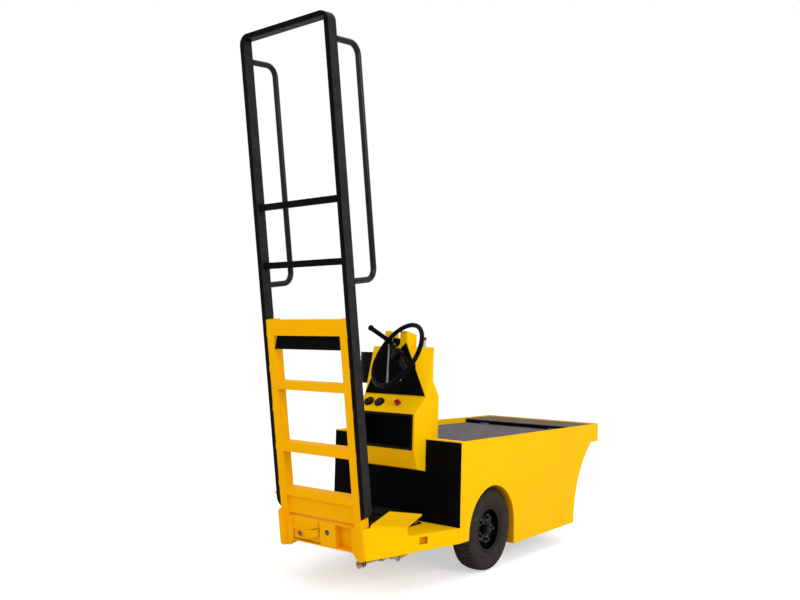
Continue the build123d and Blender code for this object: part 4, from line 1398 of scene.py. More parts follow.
@dataclass
class Driveline(Assembly):
    """Rails, axle, battery, portal and fork under the deck.

    Args:
        motor_radius: radius of the motor's housing.
        tube_radius: radius of the axle tube.
        fin_count: fins round the motor.
        fin_start: distance of the first fin from the motor's middle.
        fin_pitch: distance from one fin to the next.
        fin: profile of a fin, from the housing.
        bolt_circle: radius of the circle of bolts on the motor's ends.
        shield_face: distance of those ends from its middle.
        box_side: Y of the terminal box.
        box_screws: distances of its screws from its middle.
        saddle_wall: thickness of the saddles round the tube.
        saddle_foot: thickness of their feet under the rails.
        saddle_reach: half of the length of the feet.
        saddle_width: width of a saddle.
        rail_side: Y of a rail's middle.
        rail_low: underside of the rails.
        beam_top: top of the portal's beam.
        leg_face: Y of the fork leg's outer face.
        cells: the battery's cells along the tractor and across it.
        case_wall: thickness of the battery's case.
        lid_height: height of a cell's lid.
        post_share: distance of a post from its cell's middle, as a share of the cell.
        cap: profile of a cell's cap.
        post: profile of a post.
    """

    motor_radius: float = 0.082
    tube_radius: float = 0.030
    fin_count: int = 13
    fin_start: float = -0.082
    fin_pitch: float = 0.013
    fin: Outline = ((-0.001, 0.0), (0.0042, 0.001), (0.0042, 0.003), (-0.001, 0.004))
    bolt_circle: float = 0.069
    shield_face: float = 0.1185
    box_side: float = 0.02
    box_screws: tuple[float, float] = (0.024, 0.034)
    saddle_wall: float = 0.007
    saddle_foot: float = 0.006
    saddle_reach: float = 0.064
    saddle_width: float = 0.032
    rail_side: float = 0.238
    rail_low: float = 0.190
    beam_top: float = 0.5053
    leg_face: float = 0.0765
    cells: tuple[int, int] = (2, 6)
    case_wall: float = 0.010
    lid_height: float = 0.009
    post_share: float = 0.36
    cap: Outline = (
        (0.015, 0.0), (0.0145, 0.008), (0.012, 0.0105), (0.004, 0.0105), (0.0035, 0.009), (0.0, 0.009)
    )
    post: Outline = ((0.0095, 0.0), (0.0090, 0.010), (0.0075, 0.012), (0.0, 0.012))

    def build(self) -> None:
        """Dresses the running gear and adds its castings, bolts and cells."""
        self.dress(BLACK, "rail_left", "rail_right", "front_portal", "steer_fork", "battery_tray")
        self.dress(CAST, "drive_axle")
        self.dress(PLASTIC, "battery")
        self.motor()
        self.clamps()
        self.battery()
        self.steering_bolts()

    @property
    def axle(self) -> Vector:
        """Middle of the rear axle."""
        x, _, z = self.joint("rear_left_spin")["pos_m"]
        return Vector((x, 0.0, z))

    def motor(self) -> None:
        """Adds the motor's fins, end shields, bolts and terminal box."""
        radius, face, tube = self.motor_radius, self.shield_face, self.tube_radius
        fins = Form()
        profile: list[tuple[float, float]] = []
        for i in range(self.fin_count):
            profile += shifted(self.fin, radius, self.fin_start + self.fin_pitch * i)
        fins.lathe(profile, sideways(self.axle, 1.0), 56)
        fins.piece("motor_fins", CAST)
        shield = [
            (radius - 0.001, 0.098), (radius + 0.003, 0.099), (radius + 0.003, 0.117), (radius - 0.004, face),
            (0.058, face), (0.050, 0.126), (0.036, 0.130), (tube, 0.131),
        ]
        hub = [
            (tube, 0.286), (0.052, 0.286), (0.056, 0.288), (0.056, 0.2925), (0.050, 0.2945), (tube, 0.2945)
        ]
        shields = Form()
        bolts = Form()
        for side in (1.0, -1.0):
            out = sideways(self.axle, side)
            shields.lathe(shield, out, 56)
            for i in range(6):
                spot = beside(self.axle, side, face, self.bolt_circle, 60.0 * i + 15.0)
                bolts.hexagon(sideways(spot, side), 0.010, 0.006, 0.001)
            shields.lathe(hub, out, 48)
        shields.piece("axle_shields", CAST)
        bolts.piece("motor_bolts", ZINC)
        self.terminal_box()

    def terminal_box(self) -> None:
        """Stands the terminal box on the motor."""
        box = Form()
        seat = upright(self.axle + Vector((0.0, self.box_side, self.motor_radius - 0.003)))
        box.prism(rounded(0.062, 0.084, 0.007), 0.030, seat, 0.003)
        ahead, across = self.box_screws
        for x in (-ahead, ahead):
            for y in (-across, across):
                spot = self.axle + Vector((x, self.box_side + y, self.motor_radius + 0.027))
                box.button(upright(spot), 0.0032)
        box.piece("terminal_box", PLASTIC)

    def clamps(self) -> None:
        """Adds the saddles that hold the axle tube under the rails."""
        saddles = Form()
        bolts = Form()
        drop = self.axle.z - self.rail_low
        low, high = -drop - self.saddle_foot, -drop - 0.0003
        reach = self.saddle_reach
        outline = bend(self.tube_radius + self.saddle_wall, range(200, 341, 10))
        outline += [(reach, low), (reach, high), (0.040, high)]
        outline += bend(self.tube_radius + 0.0004, range(330, 209, -10))
        outline += [(-0.040, high), (-reach, high), (-reach, low)]
        for side in (1.0, -1.0):
            base = self.axle + LEFT * (side * self.rail_side + self.saddle_width / 2)
            place = Matrix.Translation(base) @ Matrix.Rotation(math.radians(90.0), 4, "X")
            saddles.prism(outline, self.saddle_width, place)
            for x in (-0.052, 0.052):
                spot = self.axle + Vector((x, side * self.rail_side, low))
                bolts.hexagon(facing(spot, -UP, AHEAD), 0.016, 0.009, 0.0018)
        saddles.piece("axle_saddles", BLACK)
        bolts.piece("saddle_bolts", ZINC)

    def battery(self) -> None:
        """Adds the cells' lids, caps, posts and lead straps, and the lip of the case."""
        low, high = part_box("battery")
        width, depth = high.x - low.x, high.y - low.y
        along, across = self.cells
        wall, top = self.case_wall, self.lid_height
        step_x = (width - 2 * wall) / along
        step_y = (depth - 2 * wall) / across
        lid = rounded(step_x - 0.004, step_y - 0.004, 0.005)
        strap = rounded(0.020, step_y + 0.016, 0.008)
        lids = Form()
        caps = Form()
        straps = Form()
        for i in range(along):
            for k in range(across):
                spot = Vector((low.x + wall + step_x * (i + 0.5), low.y + wall + step_y * (k + 0.5), high.z))
                lids.prism(lid, top, upright(spot), 0.0015)
                caps.lathe(self.cap, upright(spot + UP * top), 28)
                for end in (-1.0, 1.0):
                    post = spot + Vector((end * step_x * self.post_share, 0.0, top))
                    straps.lathe(self.post, upright(post), 20)
                if k + 1 < across:
                    end = 1.0 if (i + k) % 2 else -1.0
                    link = spot + Vector((end * step_x * self.post_share, step_y * 0.5, 0.011))
                    straps.prism(strap, 0.006, upright(link), 0.001)
        lids.piece("cell_lids", PLASTIC)
        caps.piece("cell_caps", PALE)
        straps.piece("cell_straps", LEAD)
        lip = Form()
        middle = (low + high) / 2
        place = upright((middle.x, middle.y, high.z))
        lip.frame(rounded(width, depth, 0.010), rounded(width - 0.010, depth - 0.010, 0.006), 0.012, place)
        lip.piece("battery_lip", BLACK)

    def steering_bolts(self) -> None:
        """Adds the bolts of the portal and the nuts of the front wheel's pin."""
        x = self.joint("front_steer")["pos_m"][0]
        bolts = Form()
        nuts = Form()
        for side in (1.0, -1.0):
            for shift in (-0.018, 0.018):
                spot = Vector((x + shift, side * self.rail_side, self.beam_top))
                bolts.hexagon(upright(spot), 0.014, 0.008, 0.002)
            pin = Vector((x, side * self.leg_face, self.axle.z))
            nuts.hexagon(sideways(pin, side), 0.044, 0.0068, 0.001)
        bolts.piece("portal_bolts", ZINC)
        nuts.piece("fork_nuts", ZINC, Body.FORK)


@dataclass
class Platform(Assembly):
    """Standing platform, its mat, skirts, pedal and the brake rod under it.

    Args:
        rib_pitch: distance between the mat's ribs.
        rib_height: how far they stand proud.
        pad_ribs: ribs of the pedal's pad.
        pad_pitch: distance between them.
        rod_side: Y of the brake rod.
        rod_height: height of the brake rod's rear end.
        rod_fall: how much lower its front end lies.
        rod_rear: its rear end, ahead of the bulkhead.
        rod_front: its front end.
        rod_radius: its radius.
        thread_turns: turns of its thread.
        thread_pitch: distance from one turn to the next.
        thread: profile of a turn, from the rod.
        clevis: profile of the pin at the rod's front end.
        crank_pin: the crank's pin, ahead of the bulkhead and over the floor.
        lever_pin: the same for the lever's pin.
        lever_bend: the same for the lever's bend.
        lever_top: the same for its upper end.
        floor_under: underside of the floor.
        hole: ahead, side and height of the hand hole in the left skirt.
        hole_size: its length and height.
        pocket_depth: depth of the pocket behind it.
        flare: how far the skirts open for each metre forward.
        skin: thickness of the skirts.
    """

    rib_pitch: float = 0.0125
    rib_height: float = 0.0016
    pad_ribs: int = 5
    pad_pitch: float = 0.0105
    rod_side: float = -0.190
    rod_height: float = 0.149
    rod_fall: float = 0.004
    rod_rear: float = -0.500
    rod_front: float = -0.345
    rod_radius: float = 0.0048
    thread_turns: int = 22
    thread_pitch: float = 0.0032
    thread: Outline = ((-0.0004, -0.0012), (0.0006, 0.0), (-0.0004, 0.0012))
    clevis: Outline = (
        (0.0, -0.017), (0.0085, -0.017), (0.0085, -0.0135), (0.0055, -0.013), (0.0055, 0.013),
        (0.0085, 0.0135), (0.0085, 0.017), (0.0, 0.017),
    )
    crank_pin: tuple[float, float] = (-0.262, 0.146)
    lever_pin: tuple[float, float] = (-0.214, 0.128)
    lever_bend: tuple[float, float] = (-0.086, 0.150)
    lever_top: tuple[float, float] = (-0.070, 0.2528)
    floor_under: float = 0.253
    hole: tuple[float, float, float] = (-0.208, 0.3368, 0.228)
    hole_size: tuple[float, float] = (0.048, 0.032)
    pocket_depth: float = 0.0145
    flare: float = 0.2724
    skin: float = 0.005

    def build(self) -> None:
        """Dresses the platform and adds the ribs, the pedal's pad and the brake rod."""
        self.dress(YELLOW, "platform_floor", "skirt_left", "skirt_right")
        self.dress(MAT, "floor_mat")
        self.dress(BLACK, "foot_pedal")
        self.mat()
        self.pockets()
        self.pedal()
        self.brake_rod()

    def mat(self) -> None:
        """Adds the ribs of the rubber mat."""
        low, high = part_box("floor_mat")
        ribs = Form()
        half = (high.y - low.y) / 2 - 0.014
        count = int(2 * half / self.rib_pitch)
        rib = rounded(high.x - low.x - 0.044, 0.005, 0.002, 2)
        for i in range(count + 1):
            side = -self.rib_pitch * count / 2 + i * self.rib_pitch
            spot = Vector(((low.x + high.x) / 2, side, high.z - 0.0002))
            ribs.prism(rib, self.rib_height, upright(spot), 0.0009)
        ribs.piece("mat_ribs", MAT)

    def pockets(self) -> None:
        """Closes the hand holes with shallow pockets inside the skirts."""
        ahead, side, height = self.hole
        length, tall = self.hole_size
        outer = rounded(length + 0.007, tall + 0.007, 0.003)
        inner = rounded(length + 0.002, tall + 0.002, 0.001)
        pocket = Form()
        for sign in (1.0, -1.0):
            inward = Vector((self.flare, -sign, 0.0)).normalized()
            along = Vector((1.0, sign * self.flare, 0.0)).normalized()
            origin = self.spot(ahead, sign * side, height)
            walls = facing(origin + inward * (self.skin + 0.0003), inward, along)
            back = facing(origin + inward * (self.skin + 0.0140), inward, along)
            pocket.frame(outer, inner, self.pocket_depth, walls)
            pocket.prism(outer, 0.002, back, 0.0004)
        # The pockets take the darker yellow, painted shade.
        pocket.piece("hand_hole_pockets", WELL_PAINTED_SHADE)

    def pedal(self) -> None:
        """Adds the ribbed rubber pad of the treadle."""
        low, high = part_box("foot_pedal")
        start = Vector((low.x + 0.004, 0.0, low.z + 0.0030))
        run = Vector((high.x - 0.008, 0.0, high.z)) - start
        slope = run.normalized()
        out = Vector((-slope.z, 0.0, slope.x))
        if out.z < 0:
            out = -out
        middle = start + run * 0.5 + Vector((0.0, (low.y + high.y) / 2, 0.0))
        width = high.y - low.y - 0.016
        pad = Form()
        sheet = rounded(run.length - 0.006, width, 0.005)
        pad.prism(sheet, 0.002, facing(middle + out * 0.0002, out, slope), 0.0008)
        rib = rounded(0.0042, width - 0.012, 0.0018, 2)
        for i in range(self.pad_ribs):
            shift = slope * ((i - self.pad_ribs // 2) * self.pad_pitch)
            pad.prism(rib, 0.0014, facing(middle + shift + out * 0.0020, out, slope), 0.0006)
        pad.piece("pedal_pad", MAT)

    def under(self, ahead: float, height: float) -> Vector:
        """A point in the plane of the brake rod.

        Args:
            ahead: distance ahead of the bulkhead.
            height: height over the ground.

        Returns:
            The point.
        """
        return self.spot(ahead, self.rod_side, height)

    def brake_rod(self) -> None:
        """Hangs the threaded brake rod with its nuts, clevis, crank and lever under the floor."""
        back = self.under(self.rod_rear, self.rod_height)
        front = self.under(self.rod_front, self.rod_height - self.rod_fall)
        along = (front - back).normalized()
        rod = Form()
        rod.tube([back, front], self.rod_radius, 14)
        for turn in range(self.thread_turns):
            spot = back + along * (0.002 + self.thread_pitch * turn)
            rod.lathe(shifted(self.thread, self.rod_radius), facing(spot, along, LEFT), 14)
        rod.piece("brake_rod", BICHROME)
        crank_pin = self.under(*self.crank_pin)
        lever_pin = self.under(*self.lever_pin)
        nuts = Form()
        for distance in (0.016, 0.044):
            nuts.hexagon(facing(back + along * distance, along, LEFT), 0.018, 0.009, 0.002)
        nuts.lathe(self.clevis, sideways(front + along * 0.012, 1.0), 22)
        for centre in (crank_pin, lever_pin):
            nuts.hexagon(sideways(centre - LEFT * 0.010, -1.0), 0.016, 0.008, 0.0015)
        nuts.piece("brake_nuts", STEEL)
        hung = self.floor_under - 0.0005
        arms = Form()
        rows = (
            # start, end, half of the width, thickness, how far left of the rod its left face lies
            (front - along * 0.004, crank_pin, 0.0075, 0.006, -0.003),
            (crank_pin, lever_pin, 0.011, 0.006, -0.010),
            (crank_pin, self.under(self.crank_pin[0], hung), 0.014, 0.005, 0.004),
        )
        for start, end, half, thickness, shift in rows:
            self.link(arms, start, end, half, thickness, self.rod_side + shift)
        tab_top = self.under(self.rod_rear + 0.034, hung)
        tab_low = self.under(self.rod_rear + 0.034, self.rod_height)
        height = tab_top.z - tab_low.z + 0.014
        tab = facing(Vector((tab_top.x - 0.0025, tab_top.y, tab_top.z - height / 2)), AHEAD, LEFT)
        arms.prism(rounded(0.034, height, 0.006), 0.005, tab, 0.0008)
        arms.piece("brake_crank", BICHROME)
        lever = Form()
        knee = self.under(*self.lever_bend)
        for start, end in ((lever_pin, knee), (knee, self.under(*self.lever_top))):
            self.link(lever, start, end, 0.013, 0.007, self.rod_side + 0.002)
        lever.piece("brake_lever", YELLOW)

    @staticmethod
    def link(form: Form, start: Vector, end: Vector, half: float, thickness: float, side: float) -> None:
        """A flat bar with round ends that lies in a plane along the tractor.

        Args:
            form: what it is added to.
            start: middle of one end.
            end: middle of the other end.
            half: half of its width.
            thickness: its thickness.
            side: Y of its left face.
        """
        run = Vector((end.x - start.x, 0.0, end.z - start.z))
        outline = bend(half, range(90, 271, 20))
        outline += shifted(bend(half, range(-90, 91, 20)), run.length)
        form.prism(outline, thickness, facing((start.x, side, start.z), -LEFT, run), 0.0007)


@dataclass
class LadderPart(Assembly):
    """A sub-assembly that lies on the ladder's plane.

    Args:
        plane: the ladder's rear face.
    """

    plane: LadderPlane = field(default_factory=LadderPlane)


@dataclass
class Hitch(LadderPart):
    """Rear beam with the tow block and the latch.

    Args:
        beam_setback: distance of the guide plate ahead of the ladder's rear face.
        pivot: side and height along the ladder of the latch's pivot.
        boss_end: distance of the pivot's end behind the ladder's rear face.
        bore: side and height along the ladder of the tow bore.
        bore_radius: its radius.
        plate_bolts: side and height along the ladder of the guide plate's bolts.
        backing: left, right, low and high limits of the plate that closes the channel under the guide.
        backing_depth: distance of that plate ahead of the ladder's rear face.
        bore_lip: profile of the bore's worn lip, from its radius.
        thread: profile of a turn of its thread, from its radius.
        thread_turns: turns of the thread.
        thread_pitch: distance from one turn to the next.
    """

    beam_setback: float = 0.004
    pivot: tuple[float, float] = (0.116, 0.250)
    boss_end: float = 0.016
    bore: tuple[float, float] = (-0.037, 0.272)
    bore_radius: float = 0.010
    plate_bolts: tuple[tuple[float, float], ...] = ((0.166, 0.300), (0.166, 0.285))
    backing: tuple[float, float, float, float] = (0.176, 0.014, 0.2130, 0.2630)
    backing_depth: float = 0.0130
    bore_lip: Outline = ((0.0, -0.024), (0.0, 0.0006), (0.001, 0.0012), (0.0028, 0.0010), (0.0034, 0.0))
    thread: Outline = ((-0.0001, -0.0009), (-0.0010, 0.0), (-0.0001, 0.0009))
    thread_turns: int = 9
    thread_pitch: float = 0.0024

    def build(self) -> None:
        """Dresses the rear beam and adds its bolts, the bore's thread, the backing plate and the welds."""
        # The rear beam takes the darker yellow, painted shade.
        self.dress(AMBER_PAINTED_SHADE, "hitch_frame", "hitch_block", "hitch_latch")
        bolts = Form()
        for side, along in self.plate_bolts:
            bolts.hexagon(self.plane.rear(side, along, self.beam_setback), 0.009, 0.005, 0.001)
        bolts.piece("guide_bolts", AMBER_PAINTED_SHADE)
        pivot = Form()
        pivot.hexagon(self.plane.rear(*self.pivot, -self.boss_end), 0.013, 0.006, 0.0015)
        pivot.piece("latch_bolt", RUST)
        collar = Form()
        seat = self.plane.rear(*self.bore)
        collar.lathe(shifted(self.bore_lip, self.bore_radius), seat, 32)
        for turn in range(self.thread_turns):
            depth = 0.002 + self.thread_pitch * turn
            collar.lathe(shifted(self.thread, self.bore_radius, -depth), seat, 32)
        collar.piece("bore_thread", RUST)
        backing = Form()
        left, right, low, high = self.backing
        plate = self.plane.rear((left + right) / 2, (low + high) / 2, self.backing_depth)
        backing.prism(rounded(left - right, high - low, 0.003, 2), 0.003, plate, 0.0006)
        backing.piece("guide_backing", AMBER_PAINTED_SHADE)
        self.welds()

    def welds(self) -> None:
        """Runs the welds of the ears and of the beam's web."""
        beads = Form()
        rows = (
            # side, height from, height to, depth, size, seed of the left one
            (0.1785, 0.212, 0.310, 0.0428, 0.0028, 40),
            (0.2175, 0.190, 0.315, -0.0005, 0.0022, 50),
        )
        for side, start, end, depth, size, seed in rows:
            for number, sign in enumerate((1.0, -1.0)):
                line = [self.plane.at(sign * side, along, depth) for along in (start, end)]
                beads.weld(line, size, seed + number)
        beads.piece("beam_welds", AMBER_PAINTED_SHADE)


@dataclass
class Ladder(LadderPart):
    """Hoop, handrails and the lower ladder.

    Args:
        post_inner: Y of a post's inner face.
        tube_depth: depth of the posts.
        rung_tops: tops of the rungs along the ladder.
        rung_height: their height.
        rung_depth: their depth.
        rail_ends: where the handrails meet the posts.
        rail_side: Y of a handrail.
        rail_radius: its radius.
        step_rows: top and height of each step.
        stile_inner: Y of a stile's inner face.
        stitches: where the short welds between a stile and its post start.
        stitch_length: their length.
        plate_screws: Y of the screws of the black plate.
        plate_height: where they stand along the ladder.
    """

    post_inner: float = 0.240
    tube_depth: float = 0.050
    rung_tops: tuple[float, ...] = (1.742, 1.479)
    rung_height: float = 0.029
    rung_depth: float = 0.025
    rail_ends: tuple[float, ...] = (1.377, 2.384)
    rail_side: float = 0.252
    rail_radius: float = 0.0135
    step_rows: tuple[tuple[float, float], ...] = ((0.940, 0.036), (0.661, 0.043), (0.448, 0.036))
    stile_inner: float = 0.199
    stitches: tuple[float, ...] = (0.45, 0.62, 0.80, 0.98, 1.14)
    stitch_length: float = 0.03
    plate_screws: tuple[float, ...] = (-0.150, -0.050, 0.050, 0.150)
    plate_height: float = 1.1555

    def build(self) -> None:
        """Dresses the ladder and adds its welds and screws."""
        self.dress(TUBE, "ladder_hoop")
        self.dress(RAIL, "handrail_left", "handrail_right")
        self.dress(BLACK, "ladder_kick_panel")
        # The lower ladder takes the darker yellow, painted shade.
        self.dress(AMBER_PAINTED_SHADE, "lower_ladder")
        self.tube_welds()
        self.step_welds()
        self.screws()

    def tube_welds(self) -> None:
        """Runs the welds of the rungs and of the handrails."""
        beads = Form()
        seed = 100
        near = (self.tube_depth - self.rung_depth) / 2
        far = near + self.rung_depth
        for top in self.rung_tops:
            low = top - self.rung_height
            for side in (1.0, -1.0):
                y = side * (self.post_inner - 0.0004)
                spots = ((top, near), (top, far), (low, far), (low, near))
                beads.weld([self.plane.at(y, *spot) for spot in spots], 0.0026, seed, closed=True)
                seed += 1
        for end in self.rail_ends:
            for side in (1.0, -1.0):
                centre = self.plane.at(side * self.rail_side, end, self.tube_depth + 0.0004)
                across = LEFT * min(self.rail_radius, 0.0112)
                ring = arc(centre, across, self.plane.up * self.rail_radius, 0.0, 345.0, 23)
                beads.weld(ring, 0.0024, seed, closed=True)
                seed += 1
        beads.piece("tube_welds", TUBE)

    def step_welds(self) -> None:
        """Runs the welds under and over the steps, and those that join the stiles to the posts."""
        beads = Form()
        seed = 200
        for top, height in self.step_rows:
            for side in (1.0, -1.0):
                for along in (top + 0.0003, top - height - 0.0003):
                    y = side * (self.stile_inner - 0.0004)
                    line = [self.plane.at(y, along, depth) for depth in (0.003, self.tube_depth - 0.003)]
                    beads.weld(line, 0.0026, seed)
                    seed += 1
        for side in (1.0, -1.0):
            for start in self.stitches:
                y = side * (self.post_inner + 0.0002)
                line = [self.plane.at(y, along, -0.0002) for along in (start, start + self.stitch_length)]
                beads.weld(line, 0.0016, seed)
                seed += 1
        beads.piece("step_welds", AMBER_PAINTED_SHADE)

    def screws(self) -> None:
        """Adds the screws that hold the black plate under the top plate."""
        heads = Form()
        for side in self.plate_screws:
            heads.button(self.plane.rear(side, self.plate_height), 0.0042)
        heads.piece("plate_screws", AMBER_PAINTED_SHADE)


@dataclass
class Console(Assembly):
    """Tower with its cover, glove box, instruments and holder.

    Args:
        dash_ahead: middle of the dash, ahead of the bulkhead.
        dash_height: its height.
        dash_normal: forward and upward parts of the direction that the dash looks in.
        gauge_sides: Y of the gauges.
        gauge_radius: radius of a gauge.
        gauge_proud: how far its housing stands proud.
        key_side: Y of the key switch.
        cover_ahead: rear face of the black cover.
        box_ahead: rear face of the tower's box.
        box_size: width and height of the glove box.
        box_middle: height of its middle.
        knob: ahead, side and height of the stop button's seat.
        holder: ahead, side and top of the cup holder.
        holder_radius: its radius.
        holder_bands: how far under its top the bands start.
        band: profile of a band, from its radius.
        mark_count: marks round a gauge.
        needle_angles: where the needles point, in degrees.
        needle: outline of a needle.
        key_collar: profile of the key switch's collar.
        key_barrel: profile of the key's head.
        key_turn: how far the key is turned, in degrees.
        cover_screws: side and height of the black cover's screws.
        neck: profile of the stop button's neck.
        mushroom: profile of its head.
    """

    dash_ahead: float = -0.055
    dash_height: float = 0.821
    dash_normal: tuple[float, float] = (-0.078, 0.086)
    gauge_sides: tuple[float, ...] = (0.126, 0.059)
    gauge_radius: float = 0.023
    gauge_proud: float = 0.007
    key_side: float = -0.057
    cover_ahead: float = -0.015
    box_ahead: float = -0.098
    box_size: tuple[float, float] = (0.360, 0.171)
    box_middle: float = 0.6925
    knob: tuple[float, float, float] = (0.036, -0.140, 1.102)
    holder: tuple[float, float, float] = (0.077, 0.243, 1.070)
    holder_radius: float = 0.043
    holder_bands: tuple[float, ...] = (0.028, 0.098)
    band: Outline = ((-0.0005, 0.0), (0.0016, 0.0006), (0.0016, 0.0054), (-0.0005, 0.006))
    mark_count: int = 11
    needle_angles: tuple[float, ...] = (110.0, 150.0)
    needle: Outline = ((-0.0085, -0.0009), (0.0095, -0.0003), (0.0095, 0.0003), (-0.0085, 0.0009))
    key_collar: Outline = (
        (0.0122, 0.0), (0.0165, 0.0004), (0.0168, 0.0022), (0.0150, 0.0036), (0.0126, 0.0040),
        (0.0122, 0.0038),
    )
    key_barrel: Outline = (
        (0.0122, 0.0045), (0.0126, 0.0050), (0.0126, 0.0155), (0.0112, 0.0174), (0.0, 0.0176)
    )
    key_turn: float = 38.0
    cover_screws: Outline = (
        (0.160, 0.876), (0.0, 0.876), (-0.160, 0.876), (0.118, 0.985), (-0.118, 0.985), (0.058, 1.092),
        (-0.058, 1.092),
    )
    neck: Outline = (
        (0.0138, 0.0), (0.0138, 0.0030), (0.0120, 0.0046), (0.0086, 0.0050), (0.0083, 0.0300),
        (0.0096, 0.0322), (0.0096, 0.0328), (0.0, 0.0328),
    )
    mushroom: Outline = (
        (0.0088, 0.0332), (0.0108, 0.0338), (0.0116, 0.0360), (0.0116, 0.0440), (0.0104, 0.0478),
        (0.0070, 0.0494), (0.0, 0.0498),
    )

    def build(self) -> None:
        """Dresses the console and adds its small parts."""
        self.dress(YELLOW, "console_tower")
        self.dress(BLACK, "console_cover", "glove_box")
        self.dress(PLASTIC, "dash_instruments", "cup_holder", "selector")
        self.dress(RED, "stop_button")
        self.gauges()
        self.key()
        self.cover()
        self.box_trim()
        self.stop_button()
        self.cup_rim()
        self.selector_rings()

    def on_dash(self, side: float) -> Matrix:
        """A placement on the dash.

        Args:
            side: Y.

        Returns:
            The placement, with X to the left.
        """
        out = Vector((self.dash_normal[0], 0.0, self.dash_normal[1])).normalized()
        return facing(self.spot(self.dash_ahead, side, self.dash_height), out)

    def gauges(self) -> None:
        """Builds the bezels, dials, needles and glasses."""
        bezels = Form()
        dials = Form()
        marks = Form()
        needles = Form()
        glasses = Form()
        r, top = self.gauge_radius, self.gauge_proud
        face = top + 0.0006
        bezel = [
            (r, 0.0), (r + 0.0032, 0.0006), (r + 0.0038, 0.0035), (r + 0.0026, top + 0.0026),
            (r - 0.0004, top + 0.0040), (r - 0.0026, top + 0.0030), (r - 0.0034, top),
        ]
        glass = [
            (0.0, top + 0.0022), (r - 0.0030, top + 0.0022), (r - 0.0028, top + 0.0028),
            (0.012, top + 0.0034), (0.0, top + 0.0036),
        ]
        for side, pointing in zip(self.gauge_sides, self.needle_angles):
            place = self.on_dash(side)
            bezels.lathe(bezel, place, 56)
            dials.lathe([(r - 0.002, top + 0.0001), (r - 0.002, face), (0.0, face)], place, 48)
            for i in range(self.mark_count):
                long = 0.0042 if i % 5 == 0 else 0.0026
                turn = place @ Matrix.Rotation(math.radians(215.0 - 25.0 * i), 4, "Z")
                spot = turn @ Matrix.Translation((r - 0.0046 - long / 2, 0.0, face))
                marks.prism(rounded(long, 0.0009, 0.0003, 1), 0.00015, spot)
            bar = place @ Matrix.Translation((0.0, -0.008, face))
            marks.prism(rounded(0.010, 0.0028, 0.0006, 1), 0.00015, bar)
            swing = place @ Matrix.Rotation(math.radians(pointing), 4, "Z")
            needles.prism(self.needle, 0.0004, swing @ Matrix.Translation((0.005, 0.0, top + 0.0010)))
            needles.lathe([(0.0024, face), (0.0022, top + 0.0018), (0.0, top + 0.0020)], place, 20)
            glasses.lathe(glass, place, 48)
        bezels.piece("gauge_bezels", PLASTIC)
        dials.piece("gauge_dials", DIAL)
        marks.piece("gauge_marks", MARK)
        needles.piece("gauge_needles", RED)
        glasses.piece("gauge_glasses", GLASS)

    def key(self) -> None:
        """Builds the key switch with its red head."""
        place = self.on_dash(self.key_side)
        turn = place @ Matrix.Rotation(math.radians(self.key_turn), 4, "Z")
        collar = Form()
        collar.lathe(self.key_collar, place, 40)
        collar.piece("key_collar", STEEL)
        head = Form()
        head.lathe(self.key_barrel, place, 40)
        wing = turn @ Matrix.Translation((0.0, 0.0, 0.0172))
        head.prism(rounded(0.026, 0.0058, 0.0028, 4), 0.0100, wing, 0.0015)
        head.piece("key_head", RED)
        mark = Form()
        mark.prism(rounded(0.009, 0.0016, 0.0007, 2), 0.0003, turn @ Matrix.Translation((0.007, 0.0, 0.0272)))
        mark.piece("key_mark", MARK)

    def cover(self) -> None:
        """Adds the screws of the black cover."""
        heads = Form()
        for side, height in self.cover_screws:
            heads.button(backward(self.spot(self.cover_ahead, side, height)), 0.0042)
        heads.piece("cover_screws", BLACK)
        bright = Form()
        bright.button(backward(self.spot(self.cover_ahead, -0.037, 0.936)), 0.0048)
        bright.piece("cover_stud", ZINC)

    def box_trim(self) -> None:
        """Adds the moulded edge of the glove box and a rib along its floor."""
        width, height = self.box_size
        trim = Form()
        rows = (
            # distance ahead, margins of the outer and the inner outline, their corners, depth
            (0.0, 0.001, 0.022, 0.004, 0.014, 0.0030),
            (0.012, 0.008, 0.020, 0.004, 0.012, 0.012),
        )
        for ahead, near, far, corner, inside, depth in rows:
            place = backward(self.spot(self.box_ahead + ahead, 0.0, self.box_middle))
            outer = rounded(width - near, height - near, corner)
            trim.frame(outer, rounded(width - far, height - far, inside), depth, place)
        trim.piece("glove_box_trim", PLASTIC)
        lip = Form()
        floor = self.spot(self.box_ahead + 0.006, 0.0, self.box_middle - height / 2 + 0.0045)
        lip.prism(rounded(width - 0.05, 0.006, 0.0025, 3), 0.009, facing(floor, UP), 0.002)
        lip.piece("glove_box_lip", PLASTIC)

    def stop_button(self) -> None:
        """Builds the stop button's pale neck and its red head."""
        seat = facing(self.spot(*self.knob), UP)
        neck = Form()
        neck.lathe(self.neck, seat, 32)
        neck.piece("stop_neck", PALE)
        head = Form()
        head.lathe(self.mushroom, seat, 32)
        head.piece("stop_head", RED)

    def cup_rim(self) -> None:
        """Builds the rolled rim and the bands of the cup holder."""
        centre = self.spot(*self.holder)
        reach = self.holder_radius - 0.0015
        rim = Form()
        ring = arc(centre - UP * 0.002, AHEAD * reach, LEFT * reach, 0.0, 352.5, 47)
        rim.tube(ring, 0.0034, 10, closed=True)
        for drop in self.holder_bands:
            rim.lathe(shifted(self.band, self.holder_radius), upright(centre - UP * drop), 48)
        rim.piece("holder_rim", PLASTIC)

    def selector_rings(self) -> None:
        """Adds the grooved cap of the direction selector."""
        low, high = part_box("selector")
        radius = 0.013
        crest = radius + 0.0012
        profile = [
            (radius, -0.012), (crest, -0.011), (crest, -0.007), (radius, -0.006), (crest, -0.005),
            (crest, -0.001), (radius - 0.001, 0.0012), (0.007, 0.0024), (0.0, 0.0026),
        ]
        cap = Form()
        cap.lathe(profile, backward((low.x, (low.y + high.y) / 2, high.z - radius)), 36)
        cap.piece("selector_cap", PLASTIC)


